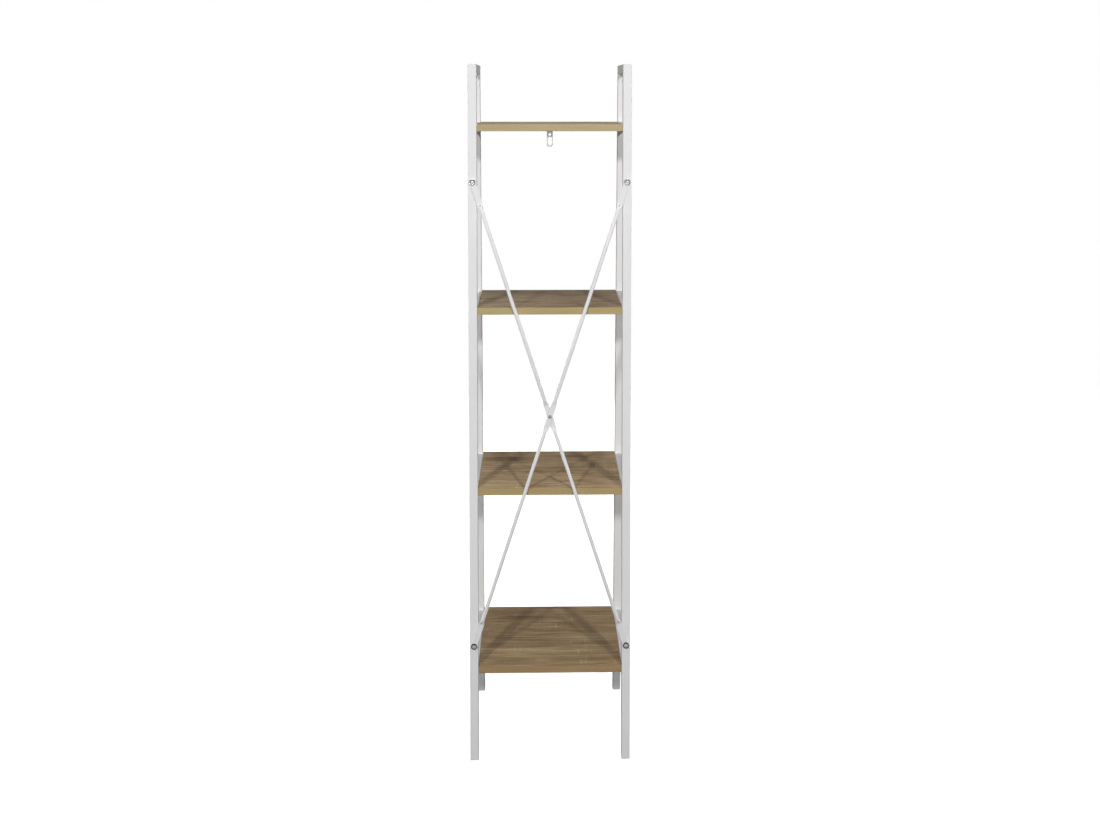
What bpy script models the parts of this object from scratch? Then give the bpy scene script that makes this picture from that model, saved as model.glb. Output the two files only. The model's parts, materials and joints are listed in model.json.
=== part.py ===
"""Narrow four-tier ladder etagere, at real size in metres, +Z up.

Two welded side frames of square steel tube carry four boards between them. The rear posts are
vertical and the front posts lean back towards the top. Two round tubes, pressed flat at their
ends and where they cross, brace the rear. The open front faces -Y and the braced rear faces +Y.
The origin is on the floor, under the middle of the whole.
"""

import math

import bmesh
import bpy
from mathutils import Matrix, Vector

# Overall sizes
HEIGHT = 1.520
WIDTH = 0.350
DEPTH_AT_FLOOR = 0.350
DEPTH_AT_TOP = 0.195

# Square tube of the side frames
TUBE_SIDE = 0.019
TUBE_WALL = 0.0012
TUBE_BORE_CORNER = 0.0008

# Boards
BOARD_COUNT = 4
BOARD_THICKNESS = 0.015
BOARD_ARRIS = 0.0006
LOWEST_BOARD_TOP = 0.210
TOP_BOARD_DROP = 0.128

# Fits: touching pieces, shanks in their holes, and cutters past the faces they open
FIT_GAP = 0.0003
SHANK_CLEARANCE = 0.0003
CUT_OVERRUN = 0.002
WELD_DISTANCE = 0.00001

# Screws from the side rails into the ends of the boards
SCREW_INSET = 0.036
SCREW_SHANK = 0.005
SCREW_LENGTH = 0.050
SCREW_TIP = 0.004
SCREW_TIP_ROOM = 0.002
SCREW_HEAD = 0.010
SCREW_HEAD_HEIGHT = 0.0026
SCREW_HEAD_EDGE = 0.0006
SCREW_SOCKET = 0.004
SCREW_SOCKET_DEPTH = 0.0016

# Cross brace of round tube
BRACE_TUBE = 0.008
BRACE_FLAT_WIDTH = 0.013
BRACE_FLAT_THICKNESS = 0.002
BRACE_END_MARGIN = 0.001
BRACE_END_FLAT = 0.050
BRACE_CROSSING_FLAT = 0.025
BRACE_PRESS_RAMP = 0.012
BRACE_UPPER_DROP = 0.124
BRACE_LOWER_RISE = 0.046

# Bolts and weld nuts of the brace
BOLT_SHANK = 0.006
BOLT_HEAD = 0.014
BOLT_HEAD_HEIGHT = 0.003
BOLT_HEAD_EDGE = 0.0008
BOLT_SOCKET = 0.004
BOLT_SOCKET_DEPTH = 0.002
BOLT_TIP_REACH = 0.0015
NUT_ACROSS_CORNERS = 0.0115
NUT_THICKNESS = 0.005

# Rivet at the crossing
RIVET_SHANK = 0.004
RIVET_HEAD = 0.0075
RIVET_HEAD_HEIGHT = 0.0014
RIVET_HOLLOW = 0.0022
RIVET_TAIL = 0.0065
RIVET_TAIL_HEIGHT = 0.0012

# Plastic foot plugs in the posts
PLUG_FLANGE = 0.002
PLUG_STEM_LENGTH = 0.016
PLUG_STEM_WALL = 0.0016
PLUG_STEM_INSET = 0.0006
PLUG_FIN = 0.001
PLUG_FIN_COUNT = 2
PLUG_JOIN = 0.0005

# Slotted wall bracket under the top board
BRACKET_WIDTH = 0.0128
BRACKET_SHEET = 0.0015
BRACKET_DROP = 0.033
BRACKET_LEG = 0.025
BRACKET_BEND = 0.0015
BRACKET_CORNER = 0.0045
BRACKET_HOLE = 0.0055
BRACKET_HOLE_DROP = 0.0069
BRACKET_WEB = 0.0026
BRACKET_SIDE_WEB = 0.0022
BRACKET_SCREW_MARGIN = 0.009
BRACKET_SCREW_SHANK = 0.0035
BRACKET_SCREW_LENGTH = 0.012
BRACKET_SCREW_TIP = 0.003
BRACKET_SCREW_HEAD = 0.0075
BRACKET_SCREW_HEAD_HEIGHT = 0.002
BRACKET_SCREW_HEAD_EDGE = 0.0005

# Outlines of turned heads, as shares of their radius, or of radius and height
CROWN_SHARES = (0.45, 0.75, 0.93)
TIP_SHARE = 0.4
RIVET_RIM_SHARES = ((0.72, 0.8), (1, 0.3))
RIVET_TAIL_SHARES = ((1, 0.5), (0.66, 1))

# Facets of round forms
CORNER_STEPS = 3
SMALL_STEPS = 12
BOLT_STEPS = 16
HOLE_STEPS = 12
RING_STEPS = 16
END_STEPS = 4
RAMP_STEPS = 5
SMOOTH_ANGLE = math.radians(30)

# Places that follow from the sizes above. The brace stands furthest back, so the rear plane of
# the posts is set forward until the whole is centred on the origin.
BRACE_BACK = FIT_GAP + BRACE_TUBE
REAR_Y = (DEPTH_AT_FLOOR - BRACE_BACK) / 2
LEAN_SLOPE = (DEPTH_AT_FLOOR - DEPTH_AT_TOP) / HEIGHT
LEAN = math.atan(LEAN_SLOPE)
POST_DEPTH = TUBE_SIDE / math.cos(LEAN)
POST_X = (WIDTH - TUBE_SIDE) / 2
INNER_X = WIDTH / 2 - TUBE_SIDE
TUBE_BORE = TUBE_SIDE - 2 * TUBE_WALL
TUBE_CORNER = TUBE_BORE_CORNER + TUBE_WALL
POST_FOOT = PLUG_FLANGE + FIT_GAP
TOP_BOARD_TOP = HEIGHT - TOP_BOARD_DROP
BOARD_PITCH = (TOP_BOARD_TOP - LOWEST_BOARD_TOP) / (BOARD_COUNT - 1)
BRACE_UPPER = TOP_BOARD_TOP - BRACE_UPPER_DROP
BRACE_LOWER = LOWEST_BOARD_TOP + BRACE_LOWER_RISE
BRACE_CENTRE = (BRACE_UPPER + BRACE_LOWER) / 2
BRACE_ANGLE = math.atan2(2 * POST_X, BRACE_UPPER - BRACE_LOWER)
BRACE_HALF = math.hypot(POST_X, (BRACE_UPPER - BRACE_LOWER) / 2)
BRACKET_TOP = TOP_BOARD_TOP - BOARD_THICKNESS
BRACKET_SCREW_Y = BRACKET_SCREW_MARGIN - BRACKET_LEG

SIDES = (("left", -1), ("right", 1))
REARWARD = Matrix.Rotation(-math.pi / 2, 4, "X")
DOWNWARD = Matrix.Rotation(math.pi, 4, "X")


def remove_everything():
    """Empty the file of its objects."""
    for item in list(bpy.data.objects):
        bpy.data.objects.remove(item, do_unlink=True)


def new_collection(name):
    """Add a collection to the scene."""
    collection = bpy.data.collections.new(name)
    bpy.context.scene.collection.children.link(collection)
    return collection


def new_material(name, colour, roughness, metallic=0.0):
    """Make a Principled material of one colour."""
    material = bpy.data.materials.new(name)
    material.use_nodes = True
    shader = material.node_tree.nodes["Principled BSDF"]
    shader.inputs["Base Color"].default_value = (*colour, 1)
    shader.inputs["Roughness"].default_value = roughness
    shader.inputs["Metallic"].default_value = metallic
    material.diffuse_color = (*colour, 1)
    return material


def make_materials():
    """Make the finishes of the sub-parts."""
    return {
        "frame_tube": new_material("frame_powder_white", (0.80, 0.80, 0.79), 0.42),
        "brace_tube": new_material("brace_powder_white", (0.82, 0.82, 0.81), 0.40),
        "board": new_material("board_oak_melamine", (0.34, 0.24, 0.14), 0.55),
        "plug": new_material("plug_white_plastic", (0.74, 0.74, 0.72), 0.55),
        "bolt": new_material("bolt_nickel", (0.46, 0.46, 0.45), 0.32, 1.0),
        "nut": new_material("nut_zinc", (0.55, 0.55, 0.54), 0.45, 1.0),
        "screw": new_material("screw_nickel", (0.50, 0.50, 0.49), 0.35, 1.0),
        "rivet": new_material("rivet_nickel", (0.42, 0.42, 0.41), 0.35, 1.0),
        "bracket": new_material("bracket_powder_white", (0.76, 0.76, 0.75), 0.45),
    }


def board_top(level):
    """Height of a board's top face, counting levels from 0 at the lowest."""
    return LOWEST_BOARD_TOP + level * BOARD_PITCH


def front_face(z):
    """Y of the leaning posts' front face at a height."""
    return REAR_Y - DEPTH_AT_FLOOR + LEAN_SLOPE * z


def post_back(z):
    """Y of the leaning posts' rear face at a height."""
    return front_face(z) + POST_DEPTH


def rounded_square(side, radius):
    """Points round a square with rounded corners, centred on the origin."""
    centre = side / 2 - radius
    points = []
    for corner in range(4):
        middle_x = centre if corner in (0, 3) else -centre
        middle_y = centre if corner in (0, 1) else -centre
        for step in range(CORNER_STEPS + 1):
            angle = (corner + step / CORNER_STEPS) * math.pi / 2
            x = middle_x + radius * math.cos(angle)
            y = middle_y + radius * math.sin(angle)
            points.append((x, y))
    return points


def curve_mesh(name, outlines, length):
    """Extrude flat outlines upward from Z 0. An outline inside another makes a bore."""
    curve = bpy.data.curves.new(name, "CURVE")
    curve.dimensions = "2D"
    curve.fill_mode = "BOTH"
    curve.extrude = length / 2
    for outline in outlines:
        spline = curve.splines.new("POLY")
        spline.points.add(len(outline) - 1)
        for point, (x, y) in zip(spline.points, outline):
            point.co = (x, y, 0, 1)
        spline.use_cyclic_u = True
    guide = bpy.data.objects.new(name + "_outline", curve)
    bpy.context.scene.collection.objects.link(guide)
    depsgraph = bpy.context.evaluated_depsgraph_get()
    mesh = bpy.data.meshes.new_from_object(guide.evaluated_get(depsgraph))
    bpy.data.objects.remove(guide, do_unlink=True)
    bpy.data.curves.remove(curve)
    mesh.name = name
    mesh.materials.clear()
    solid = bmesh.new()
    solid.from_mesh(mesh)
    bmesh.ops.remove_doubles(solid, verts=solid.verts, dist=WELD_DISTANCE)
    bmesh.ops.translate(solid, verts=solid.verts, vec=(0, 0, length / 2))
    bmesh.ops.recalc_face_normals(solid, faces=solid.faces)
    solid.to_mesh(mesh)
    solid.free()
    return mesh


def slope_ends(mesh, length, low_slope, high_slope):
    """Cut both ends of an upright prism at a slope along its own Y, by sliding their corners."""
    for vertex in mesh.vertices:
        slope = high_slope if vertex.co.z > length / 2 else low_slope
        vertex.co.z += slope * vertex.co.y


def primitive_box(name, low, high):
    """Box between two corners."""
    solid = bmesh.new()
    bmesh.ops.create_cube(solid, size=1)
    size = Vector(high) - Vector(low)
    bmesh.ops.scale(solid, vec=size, verts=solid.verts)
    bmesh.ops.translate(solid, vec=(Vector(high) + Vector(low)) / 2, verts=solid.verts)
    mesh = bpy.data.meshes.new(name)
    solid.to_mesh(mesh)
    solid.free()
    return mesh


def primitive_cylinder(name, radius, low, high, steps):
    """Upright cylinder, or a prism when it has few steps, between two heights on the Z axis."""
    solid = bmesh.new()
    bmesh.ops.create_cone(
        solid, cap_ends=True, segments=steps, radius1=radius, radius2=radius, depth=high - low
    )
    bmesh.ops.translate(solid, vec=(0, 0, (high + low) / 2), verts=solid.verts)
    mesh = bpy.data.meshes.new(name)
    solid.to_mesh(mesh)
    solid.free()
    return mesh


def turned_mesh(name, profile, steps):
    """Turn a profile of radius and height, listed from its top end to its bottom end."""
    line = bpy.data.meshes.new(name)
    edges = [(index, index + 1) for index in range(len(profile) - 1)]
    line.from_pydata([(radius, 0, height) for radius, height in profile], edges, [])
    guide = bpy.data.objects.new(name + "_profile", line)
    bpy.context.scene.collection.objects.link(guide)
    screw = guide.modifiers.new("turn", "SCREW")
    screw.axis = "Z"
    screw.steps = steps
    screw.render_steps = steps
    screw.use_merge_vertices = True
    screw.merge_threshold = WELD_DISTANCE
    return bake(guide, name)


def bake(item, name):
    """Replace an object by its evaluated mesh."""
    bpy.context.view_layer.update()
    depsgraph = bpy.context.evaluated_depsgraph_get()
    mesh = bpy.data.meshes.new_from_object(item.evaluated_get(depsgraph))
    mesh.name = name
    source = item.data
    bpy.data.objects.remove(item, do_unlink=True)
    bpy.data.meshes.remove(source)
    return mesh


def smooth(mesh):
    """Shade round faces smooth and keep the edges crisp."""
    mesh.shade_smooth()
    mesh.set_sharp_from_angle(angle=SMOOTH_ANGLE)


class Builder:
    """Places parts and cutters in their collections, under one empty at the origin."""

    def __init__(self):
        self.parts = new_collection("etagere")
        self.cutters = new_collection("cutters")
        self.materials = make_materials()
        self.root = bpy.data.objects.new("etagere_origin", None)
        self.root.empty_display_size = TUBE_SIDE
        self.parts.objects.link(self.root)

    def part(self, name, mesh, finish, placement=Matrix.Identity(4)):
        """Add a sub-part with its finish."""
        item = bpy.data.objects.new(name, mesh)
        self.parts.objects.link(item)
        item.parent = self.root
        item.matrix_world = placement
        if not mesh.materials:
            mesh.materials.append(self.materials[finish])
        smooth(mesh)
        return item

    def cut(self, target, mesh, placement=Matrix.Identity(4)):
        """Cut a sub-part with a closed mesh placed in world space."""
        cutter = bpy.data.objects.new(target.name + "_cutter", mesh)
        self.cutters.objects.link(cutter)
        cutter.matrix_world = placement
        cutter.hide_render = True
        cutter.display_type = "WIRE"
        self.add_boolean(target, cutter, "DIFFERENCE")
        return cutter

    def add_boolean(self, target, other, operation):
        """Put an exact Boolean on a sub-part."""
        boolean = target.modifiers.new(operation.lower(), "BOOLEAN")
        boolean.operation = operation
        boolean.solver = "EXACT"
        boolean.object = other

    def join(self, target, mesh, placement=Matrix.Identity(4)):
        """Unite a sub-part with a closed mesh placed in world space."""
        other = bpy.data.objects.new(target.name + "_addition", mesh)
        self.cutters.objects.link(other)
        other.matrix_world = placement
        other.hide_render = True
        other.display_type = "WIRE"
        self.add_boolean(target, other, "UNION")


def along(start, end):
    """Placement in a side frame's plane: local Z runs from start to end, given as (x, y, z)."""
    run = Vector(end) - Vector(start)
    turn = math.atan2(-run.y, run.z)
    return Matrix.Translation(start) @ Matrix.Rotation(turn, 4, "X")


def mitre(corner_angle):
    """Slope of a mitred end, and how far it draws back along its tube to leave the fit gap."""
    half = corner_angle / 2
    return 1 / math.tan(half), FIT_GAP / 2 / math.sin(half)


def square_tube(builder, name, start, end, low_slope, high_slope):
    """Hollow square tube between two centreline points, with sloped ends."""
    length = (Vector(end) - Vector(start)).length
    outer = rounded_square(TUBE_SIDE, TUBE_CORNER)
    inner = rounded_square(TUBE_BORE, TUBE_BORE_CORNER)
    mesh = curve_mesh(name, [outer, inner], length)
    slope_ends(mesh, length, low_slope, high_slope)
    return builder.part(name, mesh, "frame_tube", along(start, end))


def top_corners():
    """Centreline corners of the top rail as (y, z), at the rear post and at the front post."""
    level = HEIGHT - TUBE_SIDE / 2
    reach = TUBE_SIDE / math.tan(math.pi / 4 + LEAN / 2)
    rear = (REAR_Y - TUBE_SIDE / 2, level)
    front = (front_face(HEIGHT) + reach / 2, level)
    return rear, front


def make_rear_post(builder, side, sign):
    """Vertical rear post, mitred at its top."""
    (corner_y, corner_z), _ = top_corners()
    slope, back = mitre(math.pi / 2)
    start = (sign * POST_X, corner_y, POST_FOOT)
    end = (sign * POST_X, corner_y, corner_z - back)
    return square_tube(builder, side + "_rear_post", start, end, 0, slope)


def make_front_post(builder, side, sign):
    """Leaning front post, level at the floor and mitred at its top."""
    _, (corner_y, corner_z) = top_corners()
    slope, back = mitre(math.pi / 2 + LEAN)
    foot_y = front_face(POST_FOOT) + POST_DEPTH / 2
    start = (sign * POST_X, foot_y, POST_FOOT)
    end_y = corner_y - back * math.sin(LEAN)
    end_z = corner_z - back * math.cos(LEAN)
    end = (sign * POST_X, end_y, end_z)
    return square_tube(builder, side + "_front_post", start, end, LEAN_SLOPE, -slope)


def make_top_rail(builder, side, sign):
    """Top rail between the mitred ends of the posts."""
    (rear_y, level), (front_y, _) = top_corners()
    rear_slope, rear_back = mitre(math.pi / 2)
    front_slope, front_back = mitre(math.pi / 2 + LEAN)
    start = (sign * POST_X, rear_y - rear_back, level)
    end = (sign * POST_X, front_y + front_back, level)
    square_tube(builder, side + "_top_rail", start, end, -rear_slope, front_slope)


def screw_places(level):
    """Y of the rear and the front screw in a side rail."""
    rear = REAR_Y - TUBE_SIDE - SCREW_INSET
    front = post_back(board_top(level)) + SCREW_INSET
    return (("rear", rear), ("front", front))


def sideways(x, y, z, sign):
    """Placement that turns local Z outward through one side of the unit."""
    return Matrix.Translation((x, y, z)) @ Matrix.Rotation(sign * math.pi / 2, 4, "Y")


def make_shelf_rail(builder, side, sign, level):
    """Side rail level with a board, cut to the lean of the front post and drilled for screws."""
    centre_z = board_top(level) - TUBE_SIDE / 2
    start = (sign * POST_X, REAR_Y - TUBE_SIDE - FIT_GAP, centre_z)
    end = (sign * POST_X, post_back(centre_z) + FIT_GAP, centre_z)
    name = f"{side}_shelf_rail_{level + 1}"
    rail = square_tube(builder, name, start, end, 0, -LEAN_SLOPE)
    drill_z = board_top(level) - BOARD_THICKNESS / 2
    radius = SCREW_SHANK / 2 + SHANK_CLEARANCE
    for _, y in screw_places(level):
        drill = primitive_cylinder(
            name + "_drill", radius, -CUT_OVERRUN, TUBE_SIDE + CUT_OVERRUN, HOLE_STEPS
        )
        builder.cut(rail, drill, sideways(sign * INNER_X, y, drill_z, sign))


def make_board(builder, level):
    """Board between the side frames, with pilot holes for its screws."""
    half = INNER_X - FIT_GAP
    top = board_top(level)
    low = (-half, front_face(top) - REAR_Y, -BOARD_THICKNESS)
    high = (half, 0, 0)
    name = f"shelf_board_{level + 1}"
    place = Matrix.Translation((0, REAR_Y, top))
    board = builder.part(name, primitive_box(name, low, high), "board", place)
    arris = board.modifiers.new("arris", "BEVEL")
    arris.width = BOARD_ARRIS
    arris.segments = 1
    arris.limit_method = "ANGLE"
    depth = SCREW_LENGTH - TUBE_SIDE - 2 * FIT_GAP + SCREW_TIP_ROOM
    radius = SCREW_SHANK / 2 + SHANK_CLEARANCE
    drill_z = top - BOARD_THICKNESS / 2
    for _, sign in SIDES:
        for _, y in screw_places(level):
            pilot = primitive_cylinder(name + "_pilot", radius, -depth, CUT_OVERRUN, HOLE_STEPS)
            builder.cut(board, pilot, sideways(sign * half, y, drill_z, sign))
    return board


def head_profile(head, height, edge, shank, length, tip):
    """Profile of a screw with its head seated at Z 0 and its tip below."""
    radius = head / 2
    dome = height - edge
    crown = [(0, height)]
    for share in CROWN_SHARES:
        crown.append((radius * share, edge + dome * math.sqrt(1 - share * share)))
    stem = [(radius, edge), (radius, 0), (shank / 2, 0), (shank / 2, tip - length)]
    return crown + stem + [(shank / 2 * TIP_SHARE, -length), (0, -length)]


def socket_screw_mesh(builder, name, profile, socket, depth, steps):
    """Turned screw with a six-sided socket in its head, as a mesh for its copies to share."""
    height = profile[0][1]
    blank = bpy.data.objects.new(name + "_blank", turned_mesh(name + "_turned", profile, steps))
    builder.cutters.objects.link(blank)
    corner = socket / math.sqrt(3)
    key = primitive_cylinder(name + "_key", corner, height - depth, height + CUT_OVERRUN, 6)
    cutter = builder.cut(blank, key)
    mesh = bake(blank, name)
    bpy.data.objects.remove(cutter, do_unlink=True)
    return mesh


def make_shelf_screws(builder):
    """Screws from outside the side rails into the ends of the boards."""
    profile = head_profile(
        SCREW_HEAD, SCREW_HEAD_HEIGHT, SCREW_HEAD_EDGE, SCREW_SHANK, SCREW_LENGTH, SCREW_TIP
    )
    mesh = socket_screw_mesh(
        builder, "shelf_screw", profile, SCREW_SOCKET, SCREW_SOCKET_DEPTH, SMALL_STEPS
    )
    seat = WIDTH / 2 + FIT_GAP
    for side, sign in SIDES:
        for level in range(BOARD_COUNT):
            z = board_top(level) - BOARD_THICKNESS / 2
            for place, y in screw_places(level):
                name = f"shelf_screw_{side}_{level + 1}_{place}"
                builder.part(name, mesh, "screw", sideways(sign * seat, y, z, sign))


def tube_ring(flatness):
    """Ring of the brace tube: a circle at flatness 0, and a round-edged flat at flatness 1."""
    radius = BRACE_TUBE / 2
    half_thickness = BRACE_FLAT_THICKNESS / 2
    edge = BRACE_FLAT_WIDTH / 2 - half_thickness
    ring = []
    for step in range(RING_STEPS):
        angle = 2 * math.pi * step / RING_STEPS
        circle_x = radius * math.cos(angle)
        circle_y = radius * math.sin(angle)
        quarter = math.asin(min(1, abs(math.sin(angle)))) * 2 / math.pi
        if quarter < 1 / 2:
            flat_x = edge + half_thickness * math.cos(quarter * math.pi)
            flat_y = half_thickness * math.sin(quarter * math.pi)
        else:
            flat_x = edge * 2 * (1 - quarter)
            flat_y = half_thickness
        flat_x = math.copysign(flat_x, circle_x)
        flat_y = math.copysign(flat_y, circle_y)
        x = circle_x + (flat_x - circle_x) * flatness
        y = circle_y + (flat_y - circle_y) * flatness
        ring.append((x, y))
    return ring


def ease(share):
    """Smooth step from 0 to 1."""
    return share * share * (3 - 2 * share)


def brace_stations(crossing_y):
    """Stations of half a brace tube, as height, share of the width, flatness and Y of the ring."""
    round_y = FIT_GAP + BRACE_TUBE / 2
    end_y = FIT_GAP + BRACE_FLAT_THICKNESS / 2
    stations = [(0, 1, 1, crossing_y)]
    for step in range(RAMP_STEPS + 1):
        flatness = 1 - ease(step / RAMP_STEPS)
        z = BRACE_CROSSING_FLAT + BRACE_PRESS_RAMP * step / RAMP_STEPS
        stations.append((z, 1, flatness, round_y + (crossing_y - round_y) * flatness))
    ramp_start = BRACE_HALF - BRACE_END_FLAT - BRACE_PRESS_RAMP
    for step in range(RAMP_STEPS + 1):
        flatness = ease(step / RAMP_STEPS)
        z = ramp_start + BRACE_PRESS_RAMP * step / RAMP_STEPS
        stations.append((z, 1, flatness, round_y + (end_y - round_y) * flatness))
    for step in range(END_STEPS):
        angle = step / END_STEPS * math.pi / 2
        z = BRACE_HALF + BRACE_END_MARGIN + BRACE_FLAT_WIDTH / 2 * math.sin(angle)
        stations.append((z, math.cos(angle), 1, end_y))
    return stations


def loft(name, rings):
    """Skin closed rings of points in order. The first end stays open and the last is capped."""
    solid = bmesh.new()
    loops = [[solid.verts.new(point) for point in ring] for ring in rings]
    for lower, upper in zip(loops, loops[1:]):
        for index in range(len(lower)):
            after = (index + 1) % len(lower)
            solid.faces.new((lower[index], lower[after], upper[after], upper[index]))
    solid.faces.new(loops[-1])
    mesh = bpy.data.meshes.new(name)
    solid.to_mesh(mesh)
    solid.free()
    return mesh


def make_brace_tube(builder, name, crossing_y, sign):
    """Round tube pressed flat at its ends and at the crossing, mirrored from its upper half."""
    rings = []
    for z, width_share, flatness, centre_y in brace_stations(crossing_y):
        ring = tube_ring(flatness)
        rings.append([(x * width_share, y + centre_y, z) for x, y in ring])
    centre = Matrix.Translation((0, REAR_Y, BRACE_CENTRE))
    placement = centre @ Matrix.Rotation(sign * BRACE_ANGLE, 4, "Y")
    tube = builder.part(name, loft(name, rings), "brace_tube", placement)
    mirror = tube.modifiers.new("other_half", "MIRROR")
    mirror.use_axis = (False, False, True)
    mirror.merge_threshold = WELD_DISTANCE
    back = BRACE_BACK + CUT_OVERRUN
    for place in (-1, 1):
        drill = primitive_cylinder(
            name + "_drill", BOLT_SHANK / 2 + SHANK_CLEARANCE, -CUT_OVERRUN, back, HOLE_STEPS
        )
        hole = placement @ Matrix.Translation((0, 0, place * BRACE_HALF)) @ REARWARD
        builder.cut(tube, drill, hole)
    drill = primitive_cylinder(
        name + "_rivet_drill", RIVET_SHANK / 2 + SHANK_CLEARANCE, -CUT_OVERRUN, back, HOLE_STEPS
    )
    builder.cut(tube, drill, centre @ REARWARD)


def crossing_heights():
    """Y behind the rear plane of each brace tube's centre at the crossing, inner then outer."""
    middle = FIT_GAP + BRACE_TUBE / 2
    apart = (BRACE_FLAT_THICKNESS + FIT_GAP) / 2
    return middle - apart, middle + apart


def make_brace(builder):
    """Both brace tubes, and the rivet through their crossing."""
    inner, outer = crossing_heights()
    make_brace_tube(builder, "cross_brace_inner", inner, 1)
    make_brace_tube(builder, "cross_brace_outer", outer, -1)
    make_rivet(builder, inner, outer)


def make_rivet(builder, inner, outer):
    """Hollow-headed rivet through both flats, with its formed tail on the boards' side."""
    seat = outer + BRACE_FLAT_THICKNESS / 2 + FIT_GAP
    tail = inner - BRACE_FLAT_THICKNESS / 2 - FIT_GAP
    head = RIVET_HEAD / 2
    profile = [(0, seat), (RIVET_HOLLOW / 2, seat), (RIVET_HOLLOW / 2, seat + RIVET_HEAD_HEIGHT)]
    for radius_share, height_share in RIVET_RIM_SHARES:
        profile.append((head * radius_share, seat + RIVET_HEAD_HEIGHT * height_share))
    profile += [(head, seat), (RIVET_SHANK / 2, seat), (RIVET_SHANK / 2, tail)]
    profile.append((RIVET_TAIL / 2, tail))
    for radius_share, height_share in RIVET_TAIL_SHARES:
        radius = RIVET_TAIL / 2 * radius_share
        profile.append((radius, tail - RIVET_TAIL_HEIGHT * height_share))
    profile.append((0, tail - RIVET_TAIL_HEIGHT))
    mesh = turned_mesh("brace_rivet", profile, SMALL_STEPS)
    place = Matrix.Translation((0, REAR_Y, BRACE_CENTRE)) @ REARWARD
    builder.part("brace_rivet", mesh, "rivet", place)


def make_brace_bolts(builder, posts):
    """Bolts through the brace ends into weld nuts inside the rear posts, drilling the posts."""
    seat = FIT_GAP + BRACE_FLAT_THICKNESS + FIT_GAP
    nut_face = -TUBE_WALL - FIT_GAP
    reach = seat - nut_face + NUT_THICKNESS + BOLT_TIP_REACH
    tip = BOLT_TIP_REACH / 2
    profile = head_profile(BOLT_HEAD, BOLT_HEAD_HEIGHT, BOLT_HEAD_EDGE, BOLT_SHANK, reach, tip)
    bolt = socket_screw_mesh(
        builder, "brace_bolt", profile, BOLT_SOCKET, BOLT_SOCKET_DEPTH, BOLT_STEPS
    )
    hole = BOLT_SHANK / 2 + SHANK_CLEARANCE
    for side, sign in SIDES:
        for place, z in (("upper", BRACE_UPPER), ("lower", BRACE_LOWER)):
            name = f"{side}_{place}"
            centre = Matrix.Translation((sign * POST_X, REAR_Y, z)) @ REARWARD
            outward = centre @ Matrix.Translation((0, 0, seat))
            builder.part("brace_bolt_" + name, bolt, "bolt", outward)
            through = primitive_cylinder(
                name + "_through", hole, -TUBE_WALL - CUT_OVERRUN, CUT_OVERRUN, HOLE_STEPS
            )
            builder.cut(posts[side], through, centre)
            make_weld_nut(builder, "weld_nut_" + name, centre, nut_face)


def make_weld_nut(builder, name, centre, face):
    """Six-sided nut inside the post's rear wall."""
    back = face - NUT_THICKNESS
    body = primitive_cylinder(name, NUT_ACROSS_CORNERS / 2, back, face, 6)
    nut = builder.part(name, body, "nut", centre)
    bore = primitive_cylinder(
        name + "_bore",
        BOLT_SHANK / 2 + SHANK_CLEARANCE,
        back - CUT_OVERRUN,
        face + CUT_OVERRUN,
        HOLE_STEPS,
    )
    builder.cut(nut, bore, centre)


def plug_prism(name, outlines, low, high, slope):
    """Prism of a foot plug between two distances along the post, with level ends."""
    mesh = curve_mesh(name, outlines, high - low)
    slope_ends(mesh, high - low, slope, slope)
    for vertex in mesh.vertices:
        vertex.co.z += low
    return mesh


def make_foot_plug(builder, name, placement, lean_slope):
    """Plastic plug: a flange under the post, and a hollow stem with fins inside it."""
    flange = PLUG_FLANGE * math.hypot(1, lean_slope)
    grip = TUBE_BORE - 2 * FIT_GAP
    stem = grip - 2 * PLUG_STEM_INSET
    inside = stem - 2 * PLUG_STEM_WALL
    hollow = rounded_square(inside, TUBE_BORE_CORNER)
    stem_outlines = [rounded_square(stem, TUBE_BORE_CORNER), hollow]
    fin_outlines = [rounded_square(grip, TUBE_BORE_CORNER), hollow]
    sole = plug_prism(name, [rounded_square(TUBE_SIDE, TUBE_CORNER)], 0, flange, lean_slope)
    plug = builder.part(name, sole, "plug", placement)
    top = flange + PLUG_STEM_LENGTH
    skirt = plug_prism(name + "_stem", stem_outlines, flange - PLUG_JOIN, top, lean_slope)
    builder.join(plug, skirt, placement)
    for index in range(PLUG_FIN_COUNT):
        low = flange + (index + 1) * PLUG_STEM_LENGTH / (PLUG_FIN_COUNT + 1)
        fin = plug_prism(name + "_fin", fin_outlines, low, low + PLUG_FIN, lean_slope)
        builder.join(plug, fin, placement)


def make_foot_plugs(builder):
    """Plugs in the lower ends of all four posts."""
    for side, sign in SIDES:
        rear = Matrix.Translation((sign * POST_X, REAR_Y - TUBE_SIDE / 2, 0))
        make_foot_plug(builder, f"foot_plug_{side}_rear", rear, 0)
        centre_y = front_face(0) + POST_DEPTH / 2
        front = Matrix.Translation((sign * POST_X, centre_y, 0))
        front = front @ Matrix.Rotation(-LEAN, 4, "X")
        make_foot_plug(builder, f"foot_plug_{side}_front", front, LEAN_SLOPE)


def bracket_strip():
    """Middle line of the bracket's sheet, as (y, z, half width), from its leg to its lower end."""
    half = BRACKET_WIDTH / 2
    top = -FIT_GAP - BRACKET_SHEET / 2
    back = -BRACKET_SHEET / 2
    bend = BRACKET_BEND + BRACKET_SHEET / 2
    rows = [(-BRACKET_LEG, top, half)]
    for step in range(END_STEPS + 1):
        angle = step / END_STEPS * math.pi / 2
        y = back - bend + bend * math.sin(angle)
        z = top - bend + bend * math.cos(angle)
        rows.append((y, z, half))
    for step in range(END_STEPS + 1):
        angle = step / END_STEPS * math.pi / 2
        z = BRACKET_CORNER * (1 - math.sin(angle)) - BRACKET_DROP
        rows.append((back, z, half - BRACKET_CORNER * (1 - math.cos(angle))))
    return rows


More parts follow.
